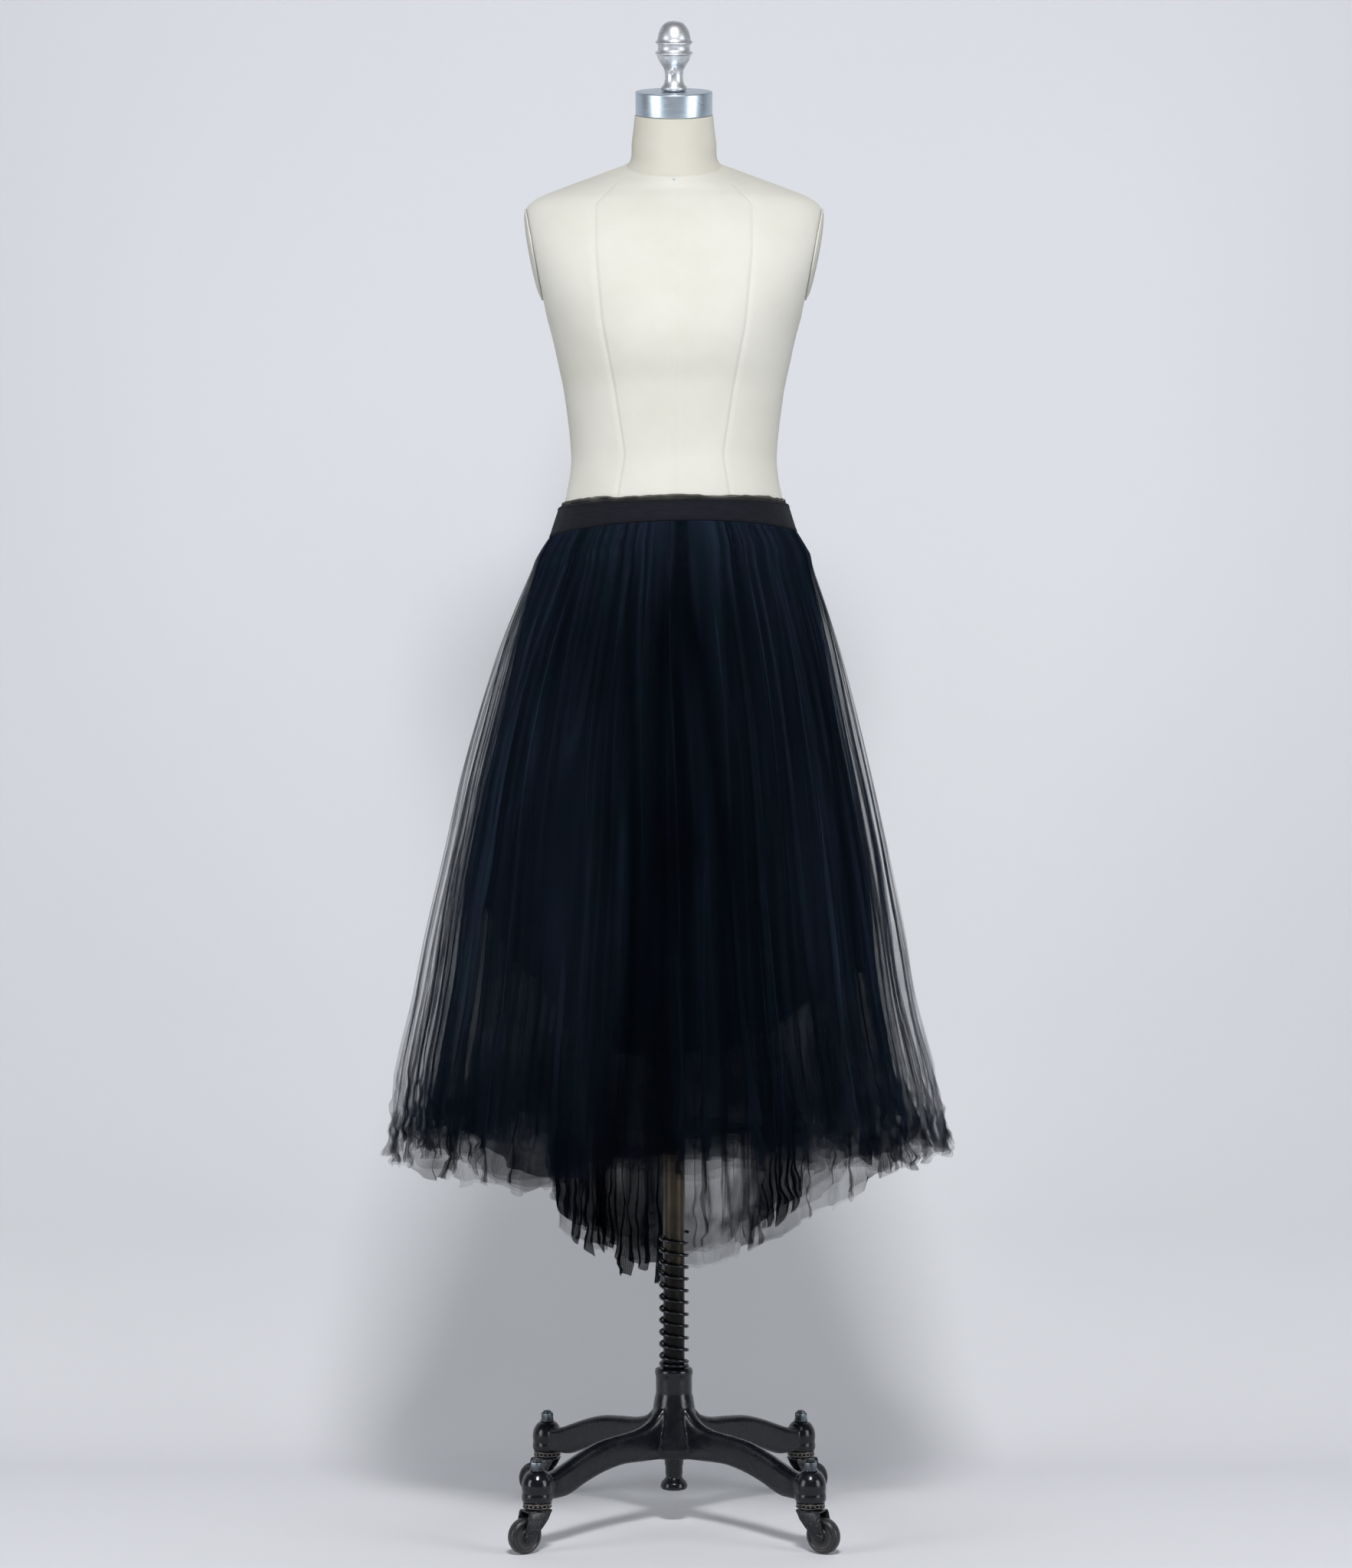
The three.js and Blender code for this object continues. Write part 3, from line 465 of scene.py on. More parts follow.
# Painted shade and highlight: how bright the dye is painted in the net's valleys, on its ridges, and on
# ridges of crowded net
VALLEY_SHADE, RIDGE_HIGHLIGHT, CROWDED_RIDGE_HIGHLIGHT = 0.4, 2.2, 5.0
NET_PITCH, TRIM_PITCH = 2.2, 1.9
ENAMEL_BLACK = (0.004, 0.005, 0.0075)


def net_finish(name, tint, pitch=NET_PITCH):
    """Sheer net: a fine diamond mesh. The thread_share attribute says how much of it is thread."""
    finish = Finish(name, tint, 0.6, Specular_IOR_Level=0.0)
    u, v, _ = finish.parts("UV")
    mesh = finish.crossing(finish.math("ADD", u, v), finish.math("SUBTRACT", u, v), pitch)
    density = finish.attribute("thread_share")
    cloud = finish.ramp(finish.noise(26, 2, kind="UV"), 0.3, 0.7, 0.82, 1.18)
    threads = finish.math("ADD", finish.math("MULTIPLY", mesh, 0.7), 1.0)
    alpha = finish.math("MULTIPLY", threads, finish.math("MULTIPLY", density, cloud))
    finish.give(finish.surface.inputs["Alpha"], alpha)
    # Painted light: the colour is painted darker in fold valleys and lighter towards fold tops, brightest on
    # crowded net, as painted shade and highlight.
    crest, crowd = finish.ramp(finish.attribute("ridge"), 0.15, 0.95), finish.ramp(density, 0.25, 0.6)
    tones = []
    for cast in FADED:
        dye = np.multiply(tint, cast)
        lit = finish.blend(crest, tuple(dye * VALLEY_SHADE), tuple(dye * RIDGE_HIGHLIGHT))
        crowded = finish.blend(crest, tuple(dye), tuple(dye * CROWDED_RIDGE_HIGHLIGHT))
        tones.append(finish.blend(crowd, lit, crowded))
    finish.paint(finish.noise(30, 4, 0.65, (1, 1, 0.6)), 0.4, 0.6, *tones)
    return finish.material


def band_finish():
    finish = Finish("band_cloth", (0.009, 0.009, 0.012), 0.72, Sheen_Weight=0.02, Specular_IOR_Level=0.08)
    finish.weave(0.9, 0.12, 0.6)
    slub = finish.noise(1, 4, stretch=(60, 500, 1), kind="UV")
    finish.bump(slub, 0.25, 0.35)
    finish.paint(slub, 0.3, 0.75, (0.0052, 0.0058, 0.0090), (0.0102, 0.0106, 0.0150))
    return finish.material


def lining_finish():
    finish = Finish("lining_cloth", (0.003, 0.004, 0.007), 0.6, Sheen_Weight=0.01, Specular_IOR_Level=0.05)
    finish.weave(0.7, 0.1, 0.4)
    cloud = finish.noise(40, 3, stretch=(1, 0.25, 1), kind="UV")
    finish.paint(cloud, 0.3, 0.7, (0.0012, 0.0018, 0.0032), (0.0026, 0.0036, 0.0058))
    return finish.material


def canvas_finish():
    """Cream canvas, glued over the form: a plain weave, faint slubs and some yellowing, most on the neck."""
    finish = Finish("form_canvas", (0.69, 0.67, 0.56), 0.82, Sheen_Weight=0.12, Specular_IOR_Level=0.25)
    finish.weave(1.25, 0.16, 0.55)
    slub = finish.noise(1, 2, stretch=(90, 900, 1), kind="UV")
    finish.bump(slub, 0.2, 0.25)
    stain = finish.ramp(finish.noise(7, 4, 0.55), 0.38, 0.72)
    neck = finish.blend(stain, (0.50, 0.488, 0.428), (0.45, 0.43, 0.357))
    chest = finish.blend(stain, (0.55, 0.545, 0.495), (0.50, 0.49, 0.425))
    _, y, z = finish.parts()
    seam_level = finish.math("SUBTRACT", z, finish.math("MULTIPLY", y, 0.44))
    cloth = finish.blend(finish.ramp(seam_level, 1.6105, 1.6135), chest, neck)
    fleck = finish.ramp(slub, 0.62, 0.8, 0.0, 0.35)
    finish.paint(fleck, 0, 1, cloth, (0.40, 0.38, 0.315))
    return finish.material


def brush(finish, stretch, least, most):
    """Fine scratches, which run along the least stretch, and a measure of dull patches."""
    scratches = finish.noise(1, 3, 0.6, stretch)
    finish.gloss(scratches, 0.3, 0.7, least, most)
    finish.bump(scratches, 0.05, 0.3)
    return finish.noise(55, 4, 0.6, (1, 1, 0.35))


def steel_finish(name, color, roughness, stretch, wear=0.0):
    """Bare steel with fine brushing. Wear darkens its dull patches."""
    finish = Finish(name, color, roughness, 1.0)
    patches = brush(finish, stretch, roughness * 0.75, roughness * 1.35)
    finish.paint(patches, 0.42, 0.66, color, tuple(c * (1 - wear) for c in color))
    return finish.material


def pole_finish():
    """Drawn steel, brushed along its length: bare above, and darker towards the bottom, where the spring is,
    with lighter patches.
    """
    finish = Finish("pole_steel", (0.27, 0.245, 0.21), 0.3, 1.0)
    patches = brush(finish, (1800, 1800, 12), 0.28, 0.44)
    bare = finish.blend(finish.ramp(patches, 0.42, 0.66), (0.05, 0.041, 0.03), (0.028, 0.024, 0.019))
    # The colour is darker below 0.375 m and darkest below 0.27 m, with lighter noisy patches.
    tone_patches = finish.ramp(finish.noise(75, 3, 0.6, (1, 1, 0.6)), 0.5, 0.68, 0.0, 0.7)
    upper_tone_share = finish.math("ADD", finish.ramp(finish.parts()[2], 0.27, 0.375), tone_patches)
    finish.paint(upper_tone_share, 0.3, 1.0, (0.013, 0.0125, 0.0125), bare)
    return finish.material


def aluminium_finish():
    finish = Finish("cast_aluminium", (0.43, 0.45, 0.47), 0.42, 0.9)
    cloud = finish.noise(130, 4, 0.6)
    finish.bump(finish.noise(900, 4, 0.6), 0.12, 0.5)
    finish.bump(cloud, 0.5, 0.25)
    finish.gloss(cloud, 0.3, 0.7, 0.34, 0.5)
    finish.paint(cloud, 0.4, 0.65, (0.68, 0.7, 0.72), (0.44, 0.45, 0.47))
    return finish.material


def enamel_finish(name, chips):
    """Gloss black enamel on rough iron, worn to grey iron on its edges."""
    finish = Finish(name, ENAMEL_BLACK, 0.2, Specular_IOR_Level=0.3, Coat_Weight=0.15, Coat_Roughness=0.12)
    finish.bump(finish.noise(160, 3, 0.55), 0.9, 0.35)
    finish.bump(finish.noise(700, 2), 0.08, 0.35)
    finish.gloss(finish.noise(42, 5, 0.65), 0.35, 0.75, 0.16, 0.42)
    edge = finish.ramp(finish.add("ShaderNodeNewGeometry").outputs["Pointiness"], 0.515, 0.56)
    spots = finish.ramp(finish.noise(380, 4, 0.7), 0.54, 0.62, 0.0, chips)
    finish.paint(finish.math("MULTIPLY", edge, spots), 0, 1, ENAMEL_BLACK, (0.12, 0.115, 0.11))
    return finish.material


def rubber_finish():
    finish = Finish("wheel_rubber", (0.012, 0.012, 0.013), 0.38, Specular_IOR_Level=0.5)
    scuff = finish.noise(300, 4, 0.65)
    finish.gloss(scuff, 0.35, 0.7, 0.28, 0.55)
    finish.bump(scuff, 0.1, 0.3)
    finish.paint(scuff, 0.55, 0.75, (0.011, 0.011, 0.012), (0.045, 0.043, 0.04))
    return finish.material


def board_finish():
    """Varnished board under the form, with its grain along X."""
    finish = Finish("form_board", (0.32, 0.21, 0.12), 0.45)
    grain = finish.noise(1, 5, 0.6, (3, 60, 60))
    finish.bump(grain, 0.15, 0.3)
    finish.paint(grain, 0.35, 0.68, (0.38, 0.26, 0.15), (0.22, 0.13, 0.07))
    return finish.material


def thread_finish():
    finish = Finish("thread", (0.010, 0.010, 0.013), 0.6, Specular_IOR_Level=0.1)
    finish.bump(finish.noise(2500, 1), 0.05, 0.5)
    return finish.material


def backdrop_finish():
    finish = Finish("backdrop", (0.62, 0.635, 0.66), 0.85, Specular_IOR_Level=0.2)
    cloud = finish.ramp(finish.noise(0.7, 2), 0.3, 0.7)
    wall = finish.blend(cloud, (0.60, 0.615, 0.64), (0.625, 0.635, 0.655))
    # Painted light: the floor, below 0.25 m, is painted lighter than the wall.
    finish.paint(finish.parts()[2], 0.0, 0.25, (0.72, 0.73, 0.755), wall)
    return finish.material


NET_OUTER = net_finish("net_outer", (0.0026, 0.0043, 0.0076))
NET_MIDDLE = net_finish("net_middle", (0.0015, 0.0025, 0.0046))
NET_TRIM = net_finish("net_trim", (0.0009, 0.0012, 0.0021), TRIM_PITCH)
BAND_CLOTH = band_finish()
LINING_CLOTH = lining_finish()
CANVAS = canvas_finish()
CAP_STEEL = steel_finish("cap_steel", (0.5, 0.58, 0.65), 0.36, (40, 40, 2500))
POLE_STEEL = pole_finish()
RACE_STEEL = steel_finish("race_steel", (0.16, 0.15, 0.14), 0.35, (60, 60, 900), 0.5)
NUT_STEEL = steel_finish("nut_steel", (0.17, 0.2, 0.22), 0.3, (300, 300, 300), 0.8)
ALUMINIUM = aluminium_finish()
ENAMEL = enamel_finish("black_enamel", 0.5)
SPRING_BLACK = enamel_finish("spring_black", 0.0)
RUBBER = rubber_finish()
BOARD = board_finish()
THREAD = thread_finish()

# ---------------------------------------------------------------- camera, light and backdrop
CAMERA_PLACE = (2.4, -4173, 878)
FOCAL_PIXELS = 4586
FRAME_HEIGHT = 2047
SENSOR = 36


def camera():
    data = bpy.data.cameras.new("camera")
    data.sensor_width = SENSOR
    data.lens = SENSOR * FOCAL_PIXELS / FRAME_HEIGHT
    data.clip_end = 60
    eye = new_object("camera", data)
    eye.location = Vector(CAMERA_PLACE) * MM
    eye.rotation_euler = (math.pi / 2, 0, 0)
    bpy.context.scene.camera = eye


def soft_box(name, place, aim, size, power, color):
    data = bpy.data.lights.new(name, "AREA")
    data.shape = "RECTANGLE"
    data.size, data.size_y = size
    data.energy = power
    data.color = color
    lamp = new_object(name, data)
    lamp.location = place
    lamp.rotation_euler = (Vector(aim) - Vector(place)).to_track_quat("-Z", "Y").to_euler()


def studio():
    """A paper sweep close behind the form, lit from above the camera and from both sides."""
    wall, curve, width, front = 0.90, 0.55, 9.0, -7.0
    profile = [(front, 0.0), (wall - curve, 0.0)]
    profile += [
        (wall - curve + curve * math.sin(a), curve - curve * math.cos(a))
        for a in np.linspace(0.05, math.pi / 2, 24)
    ]
    profile.append((wall, 5.0))
    points = [(x, y, z) for y, z in profile for x in (-width / 2, width / 2)]
    faces = [(2 * k, 2 * k + 1, 2 * k + 3, 2 * k + 2) for k in range(len(profile) - 1)]
    sweep = mesh_piece("backdrop", np.array(points) / MM, faces)
    sweep.data.materials.append(backdrop_finish())
    soft_box("key_soft_box", (0.1, -2.2, 2.75), (0.0, 0.1, 0.7), (0.6, 0.45), 74, (0.99, 0.985, 1))
    soft_box("left_soft_box", (-2.7, -1.7, 1.0), (0.0, 0.3, 0.55), (1.2, 1.8), 42, (0.97, 0.98, 1))
    soft_box("right_soft_box", (2.7, -1.7, 1.0), (0.0, 0.3, 0.55), (1.2, 1.8), 40, (0.97, 0.98, 1))
    world = bpy.data.worlds.new("studio")
    bpy.context.scene.world = world
    world.use_nodes = True
    world.node_tree.nodes["Background"].inputs["Color"].default_value = (0.92, 0.95, 1, 1)
    world.node_tree.nodes["Background"].inputs["Strength"].default_value = 0.11
    bpy.context.scene.cycles.transparent_max_bounces = 48
    bpy.context.scene.view_settings.view_transform = "Standard"


# ---------------------------------------------------------------- dress form
FORM = table(FORM_COLUMNS, FORM_ROWS)


def form_ring(angle, z, ease=0.0):
    """Points round the form at a height, eased out from its surface."""
    half, front, back = (along(FORM, side, z) + ease for side in ("half", "front", "back"))
    return ring_point(half, half, front, back, along(FORM, "power", z), angle)


# Where the princess seams run: height and distance from the middle, front and back
PRINCESS_SEAMS = dict(
    front=(
        (1000, 92), (1100, 96), (1190, 70), (1262, 58), (1340, 70), (1412, 84), (1500, 92), (1560, 92),
        (1602, 66), (1680, 40)),
    back=(
        (1000, 88), (1100, 88), (1190, 62), (1262, 50), (1340, 60), (1412, 74), (1500, 86), (1560, 90),
        (1602, 66), (1680, 40)),
)
SEAM_DEPTH = 0.8
SEAM_HALF_WIDTH = 1.1
BETWEEN_SEAMS = 17
# Mean radii of the body, for its grooves' width and for its UV map
BODY_RADIUS = 130
CLOTH_RADIUS = 140
ARM_PLATE = dict(bottom_z=1451, bottom_x=154.5, lean=0.186, z=1508, y=6, tall=55, deep=43, rim=2.4, dome=7)
# The arm plates are turned round, and then stretched to an oval
PLATE_RADIUS = 50


def seam_angle(side, z):
    """Ring angle of a princess seam, from the middle line of its side towards the right."""
    heights, places = zip(*PRINCESS_SEAMS[side])
    x = np.interp(z, heights, places)
    half = along(FORM, "half", z)
    share = np.clip(x / half, 0.05, 0.92) ** (along(FORM, "power", z) / 2)
    return np.arccos(share)


def torso():
    """The canvas body: grooved at its middle, side and princess seams and at the neck seam."""
    heights = np.unique(np.concatenate([
        np.arange(1000, 1560, 6.0), np.arange(1560, NECK_TOP_Z, 3.0),
        [NECK_SEAM_Z - SEAM_HALF_WIDTH, NECK_SEAM_Z, NECK_SEAM_Z + SEAM_HALF_WIDTH, NECK_TOP_Z],
    ]))
    z = heights[:, None]
    front, back = seam_angle("front", z), seam_angle("back", z)
    quarter = np.full_like(z, math.pi / 2)
    seams = [0 * z, back, quarter, math.pi - back, 2 * quarter, math.pi + front, 3 * quarter, TURN - front]
    columns, grooves = [], []
    for k, seam in enumerate(seams):
        following = seams[(k + 1) % len(seams)] + (TURN if k == len(seams) - 1 else 0)
        turn_width = SEAM_HALF_WIDTH / BODY_RADIUS
        columns += [seam - turn_width, seam, seam + turn_width]
        grooves += [0, 1, 0]
        for share in np.arange(1, BETWEEN_SEAMS) / BETWEEN_SEAMS:
            columns.append(seam + turn_width + (following - seam - 2 * turn_width) * share)
            grooves.append(0)
    angle = np.concatenate(columns, 1)
    on_body = smooth((1600 - z) / 10)
    depth = SEAM_DEPTH * np.array(grooves)[None, :] * on_body
    depth = np.maximum(depth, np.where(np.abs(z - NECK_SEAM_Z) < 0.5, SEAM_DEPTH, 0))
    x, y = form_ring(angle, z + 0 * angle)
    out = np.hypot(x, y)
    x, y = x * (1 - depth / out), y * (1 - depth / out)
    height = z + along(FORM, "slope", z) * y
    x = flatten_arm_side(x, height)
    columns_total = angle.shape[1]
    points = np.stack([x, y, height], -1).reshape(-1, 3)
    faces = grid_faces(len(heights), columns_total, wrap=True)
    points = np.concatenate([points, [[0, 0, heights[0]], [0, 0, NECK_TOP_Z]]])
    low, high = len(points) - 2, len(points) - 1
    top = (len(heights) - 1) * columns_total
    for j in range(columns_total):
        after = (j + 1) % columns_total
        faces += [(low, after, j), (high, top + j, top + after)]
    uv = np.stack([angle * CLOTH_RADIUS, height], -1).reshape(-1, 2)
    body = mesh_piece("form_body", points, faces, np.concatenate([uv, [[0, 0], [0, 0]]]))
    settle(body, MAST, CANVAS, "form_canvas", "form_torso")


def arm_side(z):
    """How far out the flat that an arm plate lies on is at a height."""
    return ARM_PLATE["bottom_x"] + ARM_PLATE["lean"] * (z - ARM_PLATE["bottom_z"])


def flatten_arm_side(x, z):
    """Cuts the sides off flat where the arm plates lie."""
    near = (z > ARM_PLATE["bottom_z"] - 100) & (z < 1575)
    return np.where(near, np.clip(x, -arm_side(z), arm_side(z)), x)


def arm_plates():
    tall, deep, rim, dome = (ARM_PLATE[k] for k in ("tall", "deep", "rim", "dome"))
    arc = [(math.cos(a), rim + (dome - rim) * math.sin(a)) for a in np.linspace(0, math.pi / 2, 14)]
    profile = [(0, 0), (0.985, 0), (1, 0.5), (1, rim - 0.6), (0.99, rim)]
    profile += [(0.955, rim - 0.5), (0.94, rim + 0.1)] + [(0.93 * r, height) for r, height in arc[1:]]
    stretch = Matrix.Diagonal((tall / PLATE_RADIUS, deep / PLATE_RADIUS, 1, 1))
    lean, z = math.degrees(math.atan(ARM_PLATE["lean"])), ARM_PLATE["z"]
    for side, name in ((1, "arm_plate_right"), (-1, "arm_plate_left")):
        plate = turned(f"{name}_cover", [(r * PLATE_RADIUS, height) for r, height in profile], 96)
        transform(plate, stretch, shift(0, 0, GAP), turn(90 + lean, "Y"), shift(arm_side(z), 0, z))
        if side < 0:
            transform(plate, turn(180, "Z"))
        transform(plate, shift(0, ARM_PLATE["y"], 0))
        settle(plate, MAST, CANVAS, "form_canvas", name)


def onto_neck(piece):
    return transform(piece, Matrix.Rotation(NECK_LEAN, 4, "X"), shift(0, 0, NECK_TOP_Z + GAP))


CAP = dict(radius=45.7, tall=27.5)
FINIAL_PROFILE = (
    (0, -6), (5.2, -6), (5.2, 0.2), (12.2, 0.3), (13.9, 0.9), (15.1, 2.4), (15.3, 4.2), (14.2, 6.2),
    (12.6, 8), (11.5, 10.2), (10.9, 14), (10.8, 19), (11.1, 23), (12.4, 27), (14.6, 30.4), (17, 34),
    (19, 38.4), (20.2, 42), (20.8, 43.2), (22, 43.8), (22.3, 44.8), (21.6, 45.8), (19.8, 46.6), (19, 48.4),
    (18.8, 51), (19.3, 54), (20.4, 55.4), (21.8, 56), (22.3, 57), (21.8, 58.1), (20.2, 58.8), (19.5, 60),
    (19.3, 62.4), (18.8, 65.4), (17.8, 69), (16.2, 72.8), (13.8, 76.4), (10.6, 79.2), (6.6, 80.9), (3, 81.4),
    (0, 81.5),
)
PIN_RADIUS = 1.5
PIN_Z = NECK_SEAM_Z - 3


def neck_fittings():
    """The neck cap, the finial with its set screw, and a pin's head at the front of the neck seam."""
    radius, tall = CAP["radius"], CAP["tall"]
    cap = lathed("neck_cap_shell", [(0, 0), (radius, 0), (radius, tall), (0, tall)], 1.4, 128, 4)
    settle(onto_neck(crisp(cap, 60)), MAST, CAP_STEEL, "cap_steel", "neck_cap")
    foot = tall + GAP
    knob = turned("finial_knob", [(r, z + foot) for r, z in FINIAL_PROFILE], 72)
    settle(onto_neck(knob), MAST, ALUMINIUM, "cast_aluminium", "finial")
    lug = lathed("finial_lug", [(0, 0), (3.7, 0), (3.7, 5.2), (0, 5.2)], 1.2, 24)
    blade = extruded("finial_lug_blade", [(-1, -6.2), (1, -6.2), (1, 2.2), (-1, 2.2)], 5.5)
    transform(lug, turn(90, "X"), shift(-2.2, -10.4, 0))
    transform(blade, turn(8, "Y"), shift(2, -11.6, 4))
    screw = joined("finial_set_screw", [lug, bevelled(blade, 0.5)])
    transform(screw, shift(0, 0, foot + 24))
    screw.data.shade_smooth()
    settle(onto_neck(crisp(screw, 40)), MAST, ALUMINIUM, "cast_aluminium", "finial_screw")
    head = [(PIN_RADIUS * math.sin(a), -PIN_RADIUS * math.cos(a)) for a in np.linspace(0.3, math.pi, 10)]
    pin = turned("neck_pin", [(0, -2.4)] + head, 20)
    height = np.array(float(PIN_Z))
    x, y = (float(place) for place in form_ring(np.array(1.5 * math.pi), height, 0.4))
    z = PIN_Z + float(along(FORM, "slope", height)) * y
    settle(transform(pin, turn(90, "X"), shift(x, y - 0.6, z)), MAST, CAP_STEEL, "cap_steel")


def form_base():
    """The board that closes the form's underside, set in a little from the canvas."""
    inset, thick, top = 3, 12, 1000 - GAP
    _, half, front, back, power, _ = FORM_ROWS[0]
    angle = np.linspace(0, TURN, 120, endpoint=False)
    rings = [(top - thick, 1.5), (top - thick + 1.5, 0), (top - 1, 0), (top, 1)]
    points = []
    for z, pull in rings:
        pull += inset
        x, y = ring_point(half - pull, half - pull, front - pull, back - pull, power, angle)
        points += list(zip(x, y, np.full_like(x, z)))
    faces = grid_faces(len(rings), len(angle), wrap=True)
    faces += [tuple(range(len(angle)))[::-1], tuple(range(3 * len(angle), 4 * len(angle)))]
    board = crisp(mesh_piece("form_base_board", points, faces), 30)
    settle(tidy_mesh(board), MAST, BOARD, "form_board", "form_board")


# ---------------------------------------------------------------- skirt
def band_edges(angle):
    """Heights of the waistband's top and bottom edges round the ring."""
    top_x, _ = form_ring(angle, np.full_like(angle, BAND["top"]))
    low_x, _ = form_ring(angle, np.full_like(angle, BAND["bottom"]))
    rise = BAND["front_rise"] * np.maximum(0, -np.sin(angle)) ** 2
    return BAND["top"] + BAND["top_tilt"] * top_x, BAND["bottom"] + rise + BAND["bottom_tilt"] * low_x


# Ring place where the front hems hang lowest
FRONT_LEFT = 4.16


def bump_at(t, place, width):
    return np.exp(-((t - place) / width) ** 2)


def hem_height(hem, angle, x):
    """Height of a hem: nearly level in front and long behind, with a short steep edge on the left."""
    ahead = np.maximum(0, -np.sin(angle)) ** 2
    from_back = np.degrees(np.arctan2(np.cos(angle), np.sin(angle)))
    spread = np.where(from_back < 0, hem.get("left_spread", hem["spread"]), hem["spread"] + 4)
    dip = np.exp(-((from_back / spread) ** 2)) * (1 - 0.92 * smooth((-from_back - hem["edge"]) / 3.5))
    return (
        hem["side"] + (hem["front"] - hem["side"]) * ahead + (hem["back"] - hem["side"]) * dip
        + hem["tilt"] * x * (1 - dip) - hem.get("low_left", 0) * bump_at(angle, FRONT_LEFT, 0.25)
    )


# How many random levels a hem's steps have before they repeat
STEP_LEVELS = 997


def stepped(cell, seed, blend):
    """Random levels from -1 to 1, one for each cell, with a short slope between them."""
    levels = np.random.default_rng(seed).uniform(-1, 1, STEP_LEVELS)
    index = np.floor(cell).astype(int)
    here, after = levels[index % STEP_LEVELS], levels[(index + 1) % STEP_LEVELS]
    return here + (after - here) * smooth((cell - index - 1 + blend) / blend)


# How far round the ring tucks stay off the side seams
TUCK_MARGIN = 0.13


class Tuck:
    """A narrow fold, where the net doubles back over itself along part of its fall."""

    def __init__(self, dice):
        half_turn = dice.choice((0, math.pi))
        self.place = half_turn + dice.uniform(TUCK_MARGIN, math.pi - TUCK_MARGIN)
        self.width = dice.uniform(0.022, 0.05)
        self.pull = self.width * dice.uniform(0.36, 0.66)
        self.proud = dice.uniform(0.8, 2.4)
        self.drift = dice.uniform(-0.05, 0.05)
        self.start = dice.choice((0.02, 0.06, 0.2, 0.45, 0.6))
        self.length = dice.uniform(0.35, 1.0)

    def move(self, t, fall):
        """How far the net moves round the ring and outwards."""
        s = (t - self.place - self.drift * fall) / self.width
        shown = smooth((fall - self.start) / 0.12) * (1 - smooth((fall - self.start - self.length) / 0.15))
        shown = np.where(np.abs(s) < 1, shown, 0)
        crest = (0.5 + 0.5 * np.cos(math.pi * s)) * shown
        return -self.pull * np.sin(math.pi * s) * shown, self.proud * crest, crest


# Noises in a layer's folds and hem: cells round the ring, a cell's height, seed, and whether the
# layer's own seed is added, so that it doesn't share the noise with the others
LAYER_NOISES = dict(
    bend=(18, 260, 9, 0), broad=(19, 420, 6, 0), pleat=(64, 390, 3, 0), gather=(120, 230, 4, 0),
    fine=(260, 120, 5, 1), rough=(96, 13, 6, 1), rougher=(192, 8, 1, 1), swing=(120, 19, 7, 1),
    heave=(72, 12, 8, 1),
)
# How far the pleats wander round the ring, the drop where they do so in full, and the crumpled hem's height
SWAY = 0.0035
FULL_SWAY_DROP = 200
CRUMPLED_HEIGHT = 120
REACHES = ("left", "right", "front", "back")


